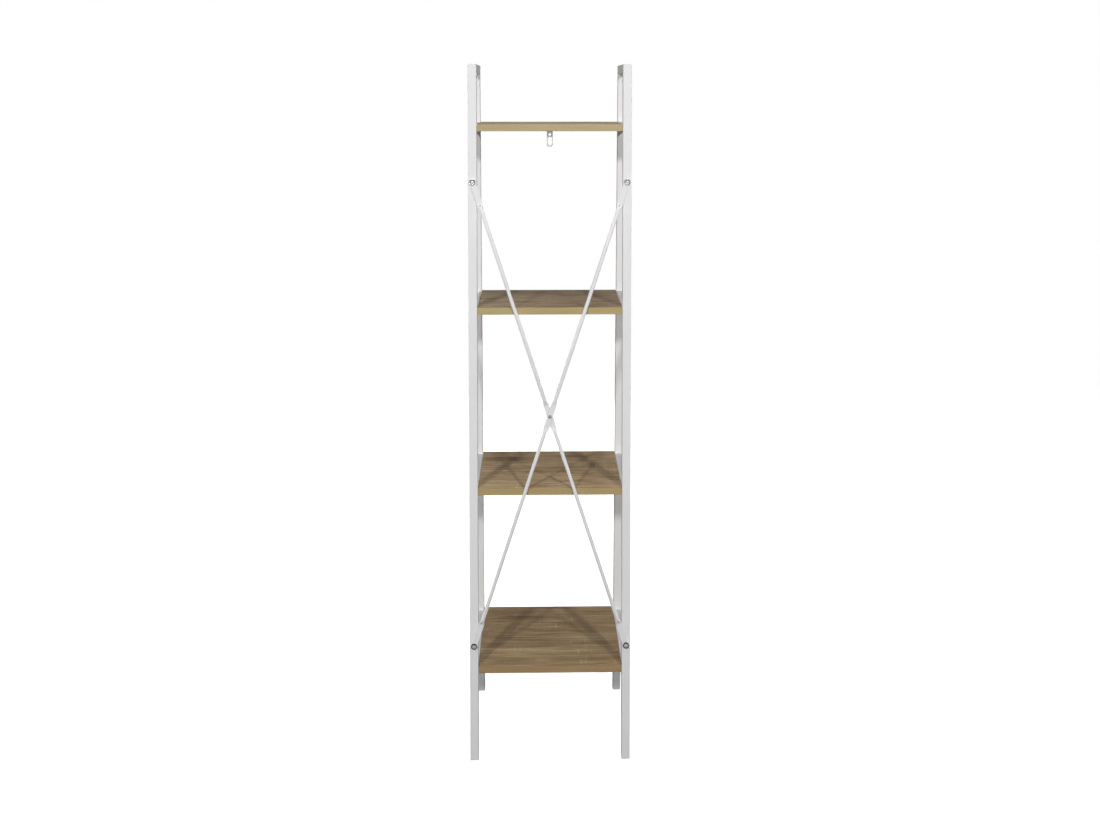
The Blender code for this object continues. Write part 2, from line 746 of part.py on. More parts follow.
def stadium(width, length):
    """Points round a slot that runs along Y."""
    radius = width / 2
    centre = length / 2 - radius
    points = []
    for index in range(HOLE_STEPS + 2):
        upper = index <= HOLE_STEPS / 2
        step = index if upper else index - 1
        angle = step / HOLE_STEPS * 2 * math.pi
        middle = centre if upper else -centre
        points.append((radius * math.cos(angle), middle + radius * math.sin(angle)))
    return points


def bracket_sheet():
    """Open bent sheet of the bracket, at its middle thickness."""
    rows = bracket_strip()
    sheet = bmesh.new()
    edges = [(sheet.verts.new((-w, y, z)), sheet.verts.new((w, y, z))) for y, z, w in rows]
    for (near_left, near_right), (far_left, far_right) in zip(edges, edges[1:]):
        sheet.faces.new((near_left, near_right, far_right, far_left))
    bmesh.ops.recalc_face_normals(sheet, faces=sheet.faces)
    mesh = bpy.data.meshes.new("wall_bracket")
    sheet.to_mesh(mesh)
    sheet.free()
    return mesh


def make_bracket(builder):
    """Angle bracket of bent sheet, with a hole and a slot in the leg that hangs down."""
    corner = Matrix.Translation((0, REAR_Y, BRACKET_TOP))
    bracket = builder.part("wall_bracket", bracket_sheet(), "bracket", corner)
    solidify = bracket.modifiers.new("sheet", "SOLIDIFY")
    solidify.thickness = BRACKET_SHEET
    solidify.offset = 0
    solidify.use_even_offset = True
    slot_top = BRACKET_HOLE_DROP + BRACKET_HOLE / 2 + BRACKET_WEB
    slot_bottom = BRACKET_DROP - BRACKET_WEB
    outline = stadium(BRACKET_WIDTH - 2 * BRACKET_SIDE_WEB, slot_bottom - slot_top)
    reach = BRACKET_SHEET + 2 * CUT_OVERRUN
    inside = corner @ Matrix.Translation((0, -BRACKET_SHEET - CUT_OVERRUN, 0))
    slot = curve_mesh("bracket_slot", [outline], reach)
    slot_place = Matrix.Translation((0, 0, -(slot_top + slot_bottom) / 2))
    builder.cut(bracket, slot, inside @ slot_place @ REARWARD)
    hole = primitive_cylinder("bracket_hole", BRACKET_HOLE / 2, 0, reach, HOLE_STEPS)
    hole_place = Matrix.Translation((0, 0, -BRACKET_HOLE_DROP))
    builder.cut(bracket, hole, inside @ hole_place @ REARWARD)
    radius = BRACKET_SCREW_SHANK / 2 + SHANK_CLEARANCE
    low = -BRACKET_SHEET - CUT_OVERRUN
    drill = primitive_cylinder("bracket_drill", radius, low, CUT_OVERRUN, HOLE_STEPS)
    builder.cut(bracket, drill, corner @ Matrix.Translation((0, BRACKET_SCREW_Y, 0)))


def make_bracket_screw(builder, top_board):
    """Screw that holds the bracket to the underside of the top board, and its pilot hole."""
    profile = head_profile(
        BRACKET_SCREW_HEAD,
        BRACKET_SCREW_HEAD_HEIGHT,
        BRACKET_SCREW_HEAD_EDGE,
        BRACKET_SCREW_SHANK,
        BRACKET_SCREW_LENGTH,
        BRACKET_SCREW_TIP,
    )
    mesh = turned_mesh("bracket_screw", profile, SMALL_STEPS)
    under = Matrix.Translation((0, REAR_Y + BRACKET_SCREW_Y, BRACKET_TOP))
    seat = BRACKET_SHEET + 2 * FIT_GAP
    place = under @ Matrix.Translation((0, 0, -seat)) @ DOWNWARD
    builder.part("bracket_screw", mesh, "screw", place)
    depth = BRACKET_SCREW_LENGTH - seat + SHANK_CLEARANCE
    radius = BRACKET_SCREW_SHANK / 2 + SHANK_CLEARANCE
    pilot = primitive_cylinder("bracket_pilot", radius, -CUT_OVERRUN, depth, HOLE_STEPS)
    builder.cut(top_board, pilot, under)


def main():
    """Build the whole etagere."""
    remove_everything()
    builder = Builder()
    rear_posts = {}
    for side, sign in SIDES:
        rear_posts[side] = make_rear_post(builder, side, sign)
        make_front_post(builder, side, sign)
        make_top_rail(builder, side, sign)
        for level in range(BOARD_COUNT):
            make_shelf_rail(builder, side, sign, level)
    boards = [make_board(builder, level) for level in range(BOARD_COUNT)]
    make_shelf_screws(builder)
    make_brace(builder)
    make_brace_bolts(builder, rear_posts)
    make_foot_plugs(builder)
    make_bracket(builder)
    make_bracket_screw(builder, boards[-1])


main()
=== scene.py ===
"""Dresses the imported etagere: finer meshes, procedural finishes, studio light and camera.

Metres, +Z up. The open front faces -Y and the braced rear faces +Y. Left is -X. Lengths repeat
those of the CAD source, so each piece lies where its CAD node lies.
"""

import json
import math

import bmesh
import bpy
from mathutils import Matrix, Vector

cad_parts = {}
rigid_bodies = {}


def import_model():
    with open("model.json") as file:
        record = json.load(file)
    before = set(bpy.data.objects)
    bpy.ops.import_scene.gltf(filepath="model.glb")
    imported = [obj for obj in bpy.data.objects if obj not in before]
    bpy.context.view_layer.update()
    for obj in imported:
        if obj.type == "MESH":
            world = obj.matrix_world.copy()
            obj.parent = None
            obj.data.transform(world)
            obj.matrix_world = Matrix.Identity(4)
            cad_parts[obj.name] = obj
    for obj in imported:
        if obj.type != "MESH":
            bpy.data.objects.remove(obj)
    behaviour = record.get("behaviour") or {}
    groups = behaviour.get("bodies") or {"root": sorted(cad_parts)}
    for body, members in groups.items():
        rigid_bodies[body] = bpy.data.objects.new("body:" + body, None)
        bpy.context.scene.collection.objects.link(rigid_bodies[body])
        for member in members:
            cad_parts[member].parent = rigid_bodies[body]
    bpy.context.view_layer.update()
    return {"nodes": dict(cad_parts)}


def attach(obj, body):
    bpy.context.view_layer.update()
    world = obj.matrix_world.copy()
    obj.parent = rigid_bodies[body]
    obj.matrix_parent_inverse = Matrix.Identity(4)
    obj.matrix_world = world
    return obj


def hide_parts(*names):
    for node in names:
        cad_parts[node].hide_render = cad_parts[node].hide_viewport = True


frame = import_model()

BODY = "root"

# Overall sizes and square tube
HEIGHT = 1.520
WIDTH = 0.350
DEPTH_AT_FLOOR = 0.350
DEPTH_AT_TOP = 0.195
TUBE_SIDE = 0.019
TUBE_CORNER = 0.002
FIT_GAP = 0.0003

# Weld beads under the powder coat
WELD_RIPPLE = 0.0013
WELD_HEIGHT = 0.0002
WELD_AT_RAIL = 0.0014
WELD_IN_CORNER = 0.0016
WELD_ON_MITRE = 0.0015
WELD_ON_MITRE_HEIGHT = 0.00016

# Foot plugs
PLUG_FLANGE = 0.002
PLUG_EDGE = 0.0006
PLUG_LIP_WIDTH = 0.00015
PLUG_LIP_HEIGHT = 0.0002
PLUG_RECESS_INSET = 0.0058
PLUG_RECESS_DEPTH = 0.0004
PLUG_RECESS_CORNER = 0.001

# Boards and their edge band
BOARD_COUNT = 4
BOARD_THICKNESS = 0.015
LOWEST_BOARD_TOP = 0.210
TOP_BOARD_DROP = 0.128
BAND_THICKNESS = 0.0010
BAND_ARRIS = 0.0007
BAND_LINE_DEPTH = 0.00004

# Screws in the side rails
SCREW_INSET = 0.036
SOCKET_FLATS = 0.004
SHELF_SCREW = {
    "shank": 0.005, "length": 0.050, "tip": 0.004, "tip_share": 0.4,
    "head": 0.010, "height": 0.0026, "edge": 0.0006,
    "depth": 0.0016, "chamfer": 0.0002, "bowl": 0.0006,
}

# Cross brace
BRACE_TUBE = 0.008
BRACE_FLAT_WIDTH = 0.013
BRACE_FLAT_THICKNESS = 0.002
BRACE_FLAT_SINK = 0.10
BRACE_END_MARGIN = 0.001
BRACE_END_FLAT = 0.050
BRACE_CROSSING_FLAT = 0.025
BRACE_PRESS_RAMP = 0.012
BRACE_UPPER_DROP = 0.124
BRACE_LOWER_RISE = 0.046

# Dimples in the brace's ramps: place and spread as shares of a ramp, breadth, then depths as
# shares of the tube's
DIMPLE_PLACE = 0.72
DIMPLE_SPREAD = 0.11
DIMPLE_BREADTH = 0.0019
DIMPLE_AT_CROSSING = 0.3
DIMPLE_AT_END = 0.93

# Bolts at the brace's ends, with sockets of the same size
BRACE_BOLT = {
    "shank": 0.006, "length": 0.0106, "tip": 0.00075, "tip_share": 0.8,
    "head": 0.014, "height": 0.003, "edge": 0.0008,
    "depth": 0.002, "chamfer": 0.0005, "bowl": 0.0002,
}

# Rivet at the brace's crossing
RIVET_SHANK = 0.004
RIVET_HEAD = 0.0075
RIVET_HEAD_HEIGHT = 0.0014
RIVET_HOLLOW = 0.0022
RIVET_TAIL = 0.0065
RIVET_TAIL_HEIGHT = 0.0012

# Wall bracket
BRACKET_WIDTH = 0.0128
BRACKET_SHEET = 0.0015
BRACKET_SOFT_EDGE = 0.0003
BRACKET_SOFT_RIM = 0.0002
BRACKET_DROP = 0.033
BRACKET_LEG = 0.025
BRACKET_BEND = 0.0015
BRACKET_CORNER = 0.0045
BRACKET_HOLE = 0.0055
BRACKET_HOLE_DROP = 0.0069
BRACKET_WEB = 0.0026
BRACKET_SIDE_WEB = 0.0022
# Drop and fade of the board's shadow, painted on the bracket's hanging leg
BRACKET_SHADOW = 0.0122
BRACKET_SHADOW_FADE = 0.0015
BRACKET_SCREW_MARGIN = 0.009
BRACKET_SCREW_CROSS = (0.0042, 0.0011)
BRACKET_SCREW = {
    "shank": 0.0035, "length": 0.012, "tip": 0.003, "tip_share": 0.3,
    "head": 0.0075, "height": 0.002, "edge": 0.0005,
    "depth": 0.0014, "chamfer": 0.0001, "bowl": 0.0004,
}

# Places that follow
REAR_Y = (DEPTH_AT_FLOOR - FIT_GAP - BRACE_TUBE) / 2
LEAN_SLOPE = (DEPTH_AT_FLOOR - DEPTH_AT_TOP) / HEIGHT
LEAN = math.atan(LEAN_SLOPE)
POST_DEPTH = TUBE_SIDE / math.cos(LEAN)
POST_X = (WIDTH - TUBE_SIDE) / 2
INNER_X = WIDTH / 2 - TUBE_SIDE
POST_FOOT = PLUG_FLANGE + FIT_GAP
TOP_BOARD_TOP = HEIGHT - TOP_BOARD_DROP
BOARD_PITCH = (TOP_BOARD_TOP - LOWEST_BOARD_TOP) / (BOARD_COUNT - 1)
BRACE_UPPER = TOP_BOARD_TOP - BRACE_UPPER_DROP
BRACE_LOWER = LOWEST_BOARD_TOP + BRACE_LOWER_RISE
BRACE_CENTRE = (BRACE_UPPER + BRACE_LOWER) / 2
BRACE_ANGLE = math.atan2(2 * POST_X, BRACE_UPPER - BRACE_LOWER)
BRACE_HALF = math.hypot(POST_X, (BRACE_UPPER - BRACE_LOWER) / 2)
BRACKET_TOP = TOP_BOARD_TOP - BOARD_THICKNESS
BRACKET_SCREW_Y = BRACKET_SCREW_MARGIN - BRACKET_LEG

SIDES = (("left", -1), ("right", 1))
BRACE_ENDS = (("upper", BRACE_UPPER), ("lower", BRACE_LOWER))
REARWARD = Matrix.Rotation(-math.pi / 2, 4, "X")
DOWNWARD = Matrix.Rotation(math.pi, 4, "X")
UP = Vector((0, 0, 1))
REAR = Vector((0, 1, 0))

# Fineness of the meshes: steps of a full turn and their angles, steps of a brace tube's ring and
# of a ramp, the radius that stands for a point, and the angle from which an edge is sharp
TURN_STEPS = 48
TURN_ANGLES = [2 * math.pi * step / TURN_STEPS for step in range(TURN_STEPS)]
BRACE_RING_STEPS = 64
RAMP_STEPS = 22
POINT = 0.0001
SHARP_ANGLE = math.radians(38)

# Plain finishes: light tone, then dark tone
COAT = ((0.84, 0.84, 0.84), (0.80, 0.80, 0.80))
BRACE_COAT = ((0.84, 0.83, 0.84), (0.80, 0.79, 0.80))
BRACKET_COAT = ((0.62, 0.62, 0.62), (0.56, 0.56, 0.56))
# Grey of the board's shadow, painted on the bracket's upper part
BRACKET_SHADOW_TONE = (0.30, 0.31, 0.33)
PLUG_PLASTIC = ((0.78, 0.78, 0.77), (0.72, 0.72, 0.71))

# Painted shade in the brace's dimples: its grey, factor on the coat's tone, and the radii of its fade
DIMPLE_SHADE_GREY = (0.13, 0.13, 0.13)
DIMPLE_SHADE_FACTOR = 0.1
DIMPLE_SHADE_CORE = 0.0008
DIMPLE_SHADE_REACH = 0.0022

# Plated finishes: light tone, dark tone, least and greatest roughness
PLATINGS = {
    # The brace bolts' two finishes are a lit and a shaded copy of one nickel: painted light and shade
    "bolt_nickel_upper": ((0.88, 0.88, 0.87), (0.76, 0.76, 0.76), 0.16, 0.26),
    "bolt_nickel_lower": ((0.32, 0.32, 0.32), (0.24, 0.24, 0.24), 0.16, 0.26),
    "screw_nickel": ((0.60, 0.60, 0.59), (0.50, 0.50, 0.49), 0.22, 0.38),
    "rivet_nickel": ((0.46, 0.46, 0.46), (0.36, 0.36, 0.36), 0.25, 0.40),
    "nut_zinc": ((0.62, 0.62, 0.60), (0.50, 0.50, 0.48), 0.35, 0.5),
}

# Growth rings of the oak print, and its streaks: cycles per metre, detail and share of the tone
RING_WIDTH = 0.0105
RING_SWAY = 0.05
RING_RIPPLE = 0.006
STREAKS = (((5, 14, 14), 2, 0.85), ((8, 50, 50), 3, 0.8), ((10, 150, 150), 3, 1.4))

# Tones of the printed oak, from its darkest streak to its lightest
FACE_TONES = (
    (0.150, 0.090, 0.042),
    (0.260, 0.175, 0.093),
    (0.365, 0.265, 0.156),
    (0.500, 0.388, 0.250),
)

# Tones of each board's edge band, lowest board first, from darkest to lightest
BAND_TONES = (
    ((0.295, 0.190, 0.085), (0.335, 0.223, 0.107), (0.385, 0.262, 0.130)),
    ((0.355, 0.255, 0.114), (0.410, 0.302, 0.140), (0.470, 0.355, 0.175)),
    ((0.390, 0.295, 0.135), (0.450, 0.355, 0.168), (0.510, 0.415, 0.215)),
    ((0.400, 0.310, 0.170), (0.470, 0.375, 0.220), (0.530, 0.430, 0.262)),
)

# Each board's print, lowest first: seed, factors on the tones, pith (x, y, depth, tilt, strength)
# and knots (x, y, length, breadth, shade). The factors paint light: they set each board's brightness
# to how lit it looks, and the blue-grey lean of the two highest is a painted grazing sheen
BOARD_PRINTS = (
    (11.0, (1.14, 1.12, 1.04), (0.02, -0.02, 0.010, 0.16, 0.2), (
        (0.080, -0.095, 0.050, 0.010, 0.3),
    )),
    (23.0, (1.46, 1.46, 1.41), (0.0, 0.06, 0.008, 0.20, 0.4), (
        (0.100, -0.055, 0.045, 0.016, 0.6),
        (-0.060, -0.075, 0.050, 0.010, 0.3),
    )),
    (37.0, (1.15, 1.18, 1.25), (0.06, 0.01, 0.012, 0.14, 0.4), (
        (0.130, 0.050, 0.020, 0.010, 0.3),
    )),
    (53.0, (1.62, 1.74, 2.05), (-0.05, 0.05, 0.010, 0.18, 0.4), (
        (-0.080, 0.020, 0.030, 0.012, 0.3),
    )),
)

# Floor: light and dark tone, radius, the radii between which it fades, and its own glow
FLOOR_PAINT = ((0.88, 0.88, 0.88), (0.86, 0.86, 0.86))
FLOOR_RADIUS = 5.0
FLOOR_FADE = (0.8, 4.5)
FLOOR_GLOW = 0.95

# Surround: its even light, its strengths in reflections, and the height (the Z of a direction)
# of two patches that they show on the camera's side
EVEN_LIGHT = 0.05
WALL_STRENGTH = 0.6
MIDDLE_STRENGTH = 0.28
SIDES_STRENGTH = 0.45
SWEEP_Z = -0.28
SWEEP_STRENGTH = 1.7
GLINT_Z = -0.40
GLINT_STRENGTH = 3.0

# Soft lights: place, target, size, watts, spread in degrees, whether reflections show it,
# and the side frame that it is kept off
LIGHTS = {
    "left_key": ((-2.3, 5.57, 3.35), (0, 0.1, 1.35), (0.33, 0.4), 63, 110, False, None),
    "right_key": ((2.3, 5.57, 3.35), (0, 0.1, 1.35), (0.33, 0.4), 63, 110, False, None),
    "top_light": ((0, 1.33, 5.0), (0, 0.1, 1.0), (1.6, 0.2), 28, 180, True, None),
    "front_fill": ((0, -3.2, 0.7), (0, 0, 0.8), (2.6, 0.9), 50, 180, False, None),
    "left_fill": ((-2.2, -0.2, 0.06), (0, 0, 0.9), (0.9, 0.1), 11, 120, True, "right"),
    "right_fill": ((2.2, -0.2, 0.06), (0, 0, 0.9), (0.9, 0.1), 11, 120, True, "left"),
}

# Camera of the photograph: picture sizes and points in pixels, sensor in millimetres
PHOTO_WIDTH = 1100
PHOTO_HEIGHT = 824
SENSOR_WIDTH = 36
CAMERA_PLACE = Vector((0.0260, REAR_Y + 2.7846, 1.4700))
CAMERA_PITCH = 0.055
CAMERA_YAW = 0.0191
FOCAL_PIXELS = 1306.5
PRINCIPAL_POINT = (562.58, 159.50)


# Nodes and finishes


class Nodes:
    """Writes one node tree: each method adds nodes and returns what they give."""

    def __init__(self, tree):
        self.tree = tree
        self.tree.nodes.clear()

    def add(self, kind, values=(), **settings):
        """Add a node. Each value is a number, a vector or a socket, by input name or index."""
        node = self.tree.nodes.new(kind)
        for key, value in settings.items():
            setattr(node, key, value)
        for key, value in dict(values).items():
            if isinstance(value, bpy.types.NodeSocket):
                self.tree.links.new(value, node.inputs[key])
            else:
                node.inputs[key].default_value = value
        return node

    def math(self, operation, a, b=0.0, c=0.0):
        """Scalar maths."""
        return self.add("ShaderNodeMath", {0: a, 1: b, 2: c}, operation=operation).outputs[0]

    def vector(self, operation, a, b):
        """Vector maths."""
        return self.add("ShaderNodeVectorMath", {0: a, 1: b}, operation=operation).outputs[0]

    def axes(self, vector):
        """X, Y and Z of a vector, by name."""
        return self.add("ShaderNodeSeparateXYZ", {0: vector}).outputs

    def offset(self, value, centre):
        """Distance of a value from a centre."""
        return self.math("ABSOLUTE", self.math("SUBTRACT", value, centre))

    def squares(self, a, b):
        """Sum of two squares."""
        return self.math("ADD", self.math("MULTIPLY", a, a), self.math("MULTIPLY", b, b))

    def noise(self, vector, cycles, detail=2.0, roughness=0.5, seed=0.0):
        """Noise from 0 to 1, with its cycles per metre as one number or one for each axis."""
        if not isinstance(cycles, tuple):
            cycles = (cycles, cycles, cycles)
        shifted = self.vector("ADD", self.vector("MULTIPLY", vector, cycles), (seed, seed, seed))
        values = {"Vector": shifted, "Scale": 1.0, "Detail": detail, "Roughness": roughness}
        return self.add("ShaderNodeTexNoise", values).outputs["Fac"]

    def swing(self, noise, width):
        """Swing about zero, as wide as given, that follows a noise."""
        return self.math("MULTIPLY_ADD", noise, width, -width / 2)

    def ramp(self, fac, stops):
        """Colour ramp of (position, colour) stops."""
        node = self.add("ShaderNodeValToRGB", {"Fac": fac})
        elements = node.color_ramp.elements
        while len(elements) < len(stops):
            elements.new(1.0)
        for element, (position, colour) in zip(elements, stops):
            element.position = position
            element.color = (*colour, 1)
        return node.outputs["Color"]

    def span(self, value, low, high, new_low, new_high):
        """Map a range to another, with ends held."""
        values = {0: value, 1: low, 2: high, 3: new_low, 4: new_high}
        return self.add("ShaderNodeMapRange", values).outputs[0]

    def near(self, distance, inner, outer):
        """1 up to an inner distance, falling to 0 at an outer one."""
        return self.span(distance, inner, outer, 1.0, 0.0)

    def blend(self, noise, light, dark):
        """Dark tone where a noise is low, light where it is high."""
        return self.ramp(noise, [(0.3, dark), (0.7, light)])

    def uneven(self, noise, least, greatest):
        """Value between a least and a greatest that follows a noise."""
        return self.span(noise, 0.3, 0.7, least, greatest)

    def bump(self, height, strength, distance):
        """Bump from a height."""
        values = {"Height": height, "Strength": strength, "Distance": distance}
        return self.add("ShaderNodeBump", values).outputs["Normal"]

    def surface(self, **values):
        """Principled surface into the material output."""
        named = {key.replace("_", " "): value for key, value in values.items()}
        shader = self.add("ShaderNodeBsdfPrincipled", named)
        self.add("ShaderNodeOutputMaterial", {"Surface": shader.outputs[0]})


def new_material(name):
    """Empty node material, its nodes and the place on the object in metres."""
    material = bpy.data.materials.new(name)
    material.use_nodes = True
    nodes = Nodes(material.node_tree)
    return material, nodes, nodes.add("ShaderNodeTexCoord").outputs["Object"]


def dimple_shade(nodes, place):
    """Factor on the coat's tone, low in the dimples of the brace's pressed ends: painted shade."""
    axes = nodes.axes(place)
    run = BRACE_HALF - BRACE_END_FLAT - BRACE_PRESS_RAMP * (1 - DIMPLE_PLACE)
    aside = nodes.math("SUBTRACT", nodes.offset(axes["X"], 0.0), run * math.sin(BRACE_ANGLE))
    rise = nodes.offset(axes["Z"], BRACE_CENTRE)
    rise = nodes.math("SUBTRACT", rise, run * math.cos(BRACE_ANGLE))
    distance = nodes.math("SQRT", nodes.squares(aside, rise))
    return nodes.span(distance, DIMPLE_SHADE_CORE, DIMPLE_SHADE_REACH, DIMPLE_SHADE_FACTOR, 1.0)


def powder_coat(name, light, dark, shaded_dimples=False):
    """White powder coat: fine orange peel, faint unevenness of tone and gloss, and optionally painted
    shade in the brace's dimples.
    """
    material, nodes, place = new_material(name)
    cloud = nodes.noise(place, (14, 14, 9), detail=3)
    speck = nodes.noise(place, 900, detail=1)
    tone = nodes.math("MULTIPLY_ADD", speck, 0.25, cloud)
    # Shade painted into the brace's dimples
    if shaded_dimples:
        tone = nodes.math("MULTIPLY", tone, dimple_shade(nodes, place))
    peel = nodes.noise(place, 520, roughness=0.45)
    nodes.surface(
        Base_Color=nodes.ramp(tone, [(0.08, DIMPLE_SHADE_GREY), (0.35, dark), (0.85, light)]),
        Roughness=nodes.uneven(cloud, 0.50, 0.60),
        Specular_IOR_Level=0.05,
        Normal=nodes.bump(peel, strength=0.22, distance=0.00012),
    )
    return material


def shadowed_coat(name, light, dark, shade):
    """Thin white coat, with the board's shadow painted on the part that hangs close under the board.
    """
    material, nodes, place = new_material(name)
    cloud = nodes.noise(place, 160, detail=3)
    height = nodes.math("ADD", nodes.axes(place)["Z"], nodes.swing(cloud, 0.0008))
    low = BRACKET_TOP - BRACKET_SHADOW
    # Painted shadow of the board above this height
    grey = nodes.span(height, low, low + BRACKET_SHADOW_FADE, 0.0, 1.0)
    tone = nodes.math("MULTIPLY_ADD", grey, 0.5, nodes.math("MULTIPLY", cloud, 0.5))
    peel = nodes.noise(place, 900, roughness=0.45)
    nodes.surface(
        Base_Color=nodes.ramp(tone, [(0.1, dark), (0.4, light), (0.65, shade), (0.9, shade)]),
        Roughness=nodes.uneven(cloud, 0.4, 0.5),
        Normal=nodes.bump(peel, strength=0.2, distance=0.0001),
    )
    return material


def plastic(name, light, dark):
    """Moulded plastic with a fine spark-eroded texture."""
    material, nodes, place = new_material(name)
    grain = nodes.noise(place, 1500)
    nodes.surface(
        Base_Color=nodes.blend(nodes.noise(place, 60), light, dark),
        Roughness=nodes.uneven(grain, 0.45, 0.6),
        Normal=nodes.bump(grain, strength=0.2, distance=0.00006),
    )
    return material


def plated(name, light, dark, least, greatest):
    """Plated steel with fine scratches and a slightly cloudy plating."""
    material, nodes, place = new_material(name)
    cloud = nodes.noise(place, 420, detail=3)
    scratch = nodes.noise(place, (2600, 700, 2600), roughness=0.7)
    mixed = nodes.math("MULTIPLY", nodes.math("ADD", scratch, cloud), 0.5)
    nodes.surface(
        Base_Color=nodes.blend(cloud, light, dark),
        Roughness=nodes.span(mixed, 0.35, 0.65, least, greatest),
        Metallic=1.0,
        Normal=nodes.bump(scratch, strength=0.12, distance=0.00003),
    )
    return material


def growth_rings(nodes, axes, sway, ripple, pith):
    """Tone of growth rings cut lengthwise, round a pith that dips away from its highest place."""
    pith_x, pith_y, depth, tilt, strength = pith
    across = nodes.math("ADD", nodes.math("SUBTRACT", axes["Y"], pith_y), nodes.swing(sway, RING_SWAY))
    across = nodes.math("ADD", across, nodes.swing(ripple, RING_RIPPLE))
    below = nodes.math("MULTIPLY_ADD", nodes.offset(axes["X"], pith_x), tilt, depth)
    radius = nodes.math("SQRT", nodes.squares(across, below))
    turn = nodes.math("FRACT", nodes.math("DIVIDE", radius, RING_WIDTH))
    ring = nodes.math("PINGPONG", nodes.math("POWER", turn, 2.2), 0.5)
    return nodes.math("MULTIPLY_ADD", ring, -strength, 0.5 + strength * 0.2)


def knot_shadow(nodes, axes, ripple, knot):
    """Shade of a soft knot, strongest in its middle."""
    knot_x, knot_y, length, breadth, shade = knot
    east = nodes.math("DIVIDE", nodes.math("SUBTRACT", axes["X"], knot_x), length)
    north = nodes.math("DIVIDE", nodes.math("SUBTRACT", axes["Y"], knot_y), breadth)
    reach = nodes.squares(east, nodes.math("ADD", north, nodes.swing(ripple, 1.6)))
    return nodes.math("DIVIDE", shade, nodes.math("MULTIPLY_ADD", reach, reach, 1.0))


def saw_marks(nodes, place, seed):
    """Marks of the saw across the grain, in patches."""
    saw = nodes.noise(place, (260, 16, 16), detail=1, seed=seed)
    patch = nodes.noise(place, 9, detail=1, seed=seed + 6)
    return nodes.math("MULTIPLY", nodes.span(saw, 0.64, 0.72, 0, 1), nodes.span(patch, 0.5, 0.6, 0, 1))


def oak_face(name, seed, pith, tones, knots):
    """Printed oak of a board's faces: growth rings cut lengthwise, fibres, pores and saw marks."""
    material, nodes, place = new_material(name)
    axes = nodes.axes(place)
    sway = nodes.noise(place, (5, 16, 16), seed=seed)
    ripple = nodes.noise(place, (22, 60, 60), seed=seed + 3)
    tone = growth_rings(nodes, axes, sway, ripple, pith)
    for index, (cycles, detail, share) in enumerate(STREAKS):
        streak = nodes.noise(place, cycles, detail, 0.55, seed + 7 + 4 * index)
        tone = nodes.math("ADD", tone, nodes.swing(streak, share))
    fibre = nodes.noise(place, (28, 640, 640), detail=3, roughness=0.65, seed=seed + 17)
    tone = nodes.math("ADD", tone, nodes.swing(fibre, 0.96))
    for knot in knots:
        tone = nodes.math("SUBTRACT", tone, knot_shadow(nodes, axes, ripple, knot))
    tone = nodes.math("MULTIPLY_ADD", saw_marks(nodes, place, seed + 23), 0.35, tone)
    pore = nodes.noise(place, (70, 1500, 1500), detail=1, seed=seed + 31)
    pore = nodes.span(pore, 0.60, 0.68, 0, 1)
    tone = nodes.math("MULTIPLY_ADD", pore, -0.3, tone)
    height = nodes.math("MULTIPLY_ADD", pore, -0.6, fibre)
    nodes.surface(
        Base_Color=nodes.ramp(tone, list(zip((0.0, 0.33, 0.67, 1.0), tones))),
        Roughness=nodes.uneven(fibre, 0.5, 0.64),
        Specular_IOR_Level=0.5,
        Normal=nodes.bump(height, strength=0.35, distance=0.00015),
    )
    return material


def oak_band(name, seed, tones):
    """Edge band printed to match: straight streaks along the edge."""
    material, nodes, place = new_material(name)
    patch = nodes.noise(place, (7, 7, 40), seed=seed)
    streak = nodes.noise(place, (9, 260, 260), detail=3, roughness=0.6, seed=seed + 5)
    fibre = nodes.noise(place, (40, 900, 900), roughness=0.6, seed=seed + 9)
    tone = nodes.math("MULTIPLY_ADD", streak, 0.4, nodes.math("MULTIPLY", patch, 0.45))
    tone = nodes.math("MULTIPLY_ADD", fibre, 0.25, tone)
    nodes.surface(
        Base_Color=nodes.ramp(tone, list(zip((0.30, 0.55, 0.8), tones))),
        Roughness=nodes.uneven(fibre, 0.42, 0.54),
        Normal=nodes.bump(fibre, strength=0.25, distance=0.0001),
    )
    return material


# Meshes and pieces


def rounded_square(side, radius, steps=6):
    """Points round a square with rounded corners, centred on the origin."""
    centre = side / 2 - radius
    points = []
    for corner in range(4):
        middle_x = centre if corner in (0, 3) else -centre
        middle_y = centre if corner in (0, 1) else -centre
        for step in range(steps + 1):
            angle = (corner + step / steps) * math.pi / 2
            points.append((middle_x + radius * math.cos(angle), middle_y + radius * math.sin(angle)))
    return points


def skin(solid, rings):
    """Skin closed rings of points in order and cap both ends."""
    loops = [[solid.verts.new(point) for point in ring] for ring in rings]
    for lower, upper in zip(loops, loops[1:]):
        for index in range(len(lower)):
            after = (index + 1) % len(lower)
            solid.faces.new((lower[index], lower[after], upper[after], upper[index]))
    solid.faces.new(list(reversed(loops[0])))
    solid.faces.new(loops[-1])


def mesh_of(name, solid, placement=Matrix.Identity(4)):
    """Turn a bmesh into a mesh placed in the frame."""
    bmesh.ops.recalc_face_normals(solid, faces=solid.faces)
    mesh = bpy.data.meshes.new(name)
    solid.to_mesh(mesh)
    solid.free()
    mesh.transform(placement)
    return mesh


def lofted(name, rings, placement):
    """Closed mesh skinned over rings."""
    solid = bmesh.new()
    skin(solid, rings)
    return mesh_of(name, solid, placement)


def add_object(name, content):
    """Add an object to the scene."""
    item = bpy.data.objects.new(name, content)
    bpy.context.scene.collection.objects.link(item)
    return item


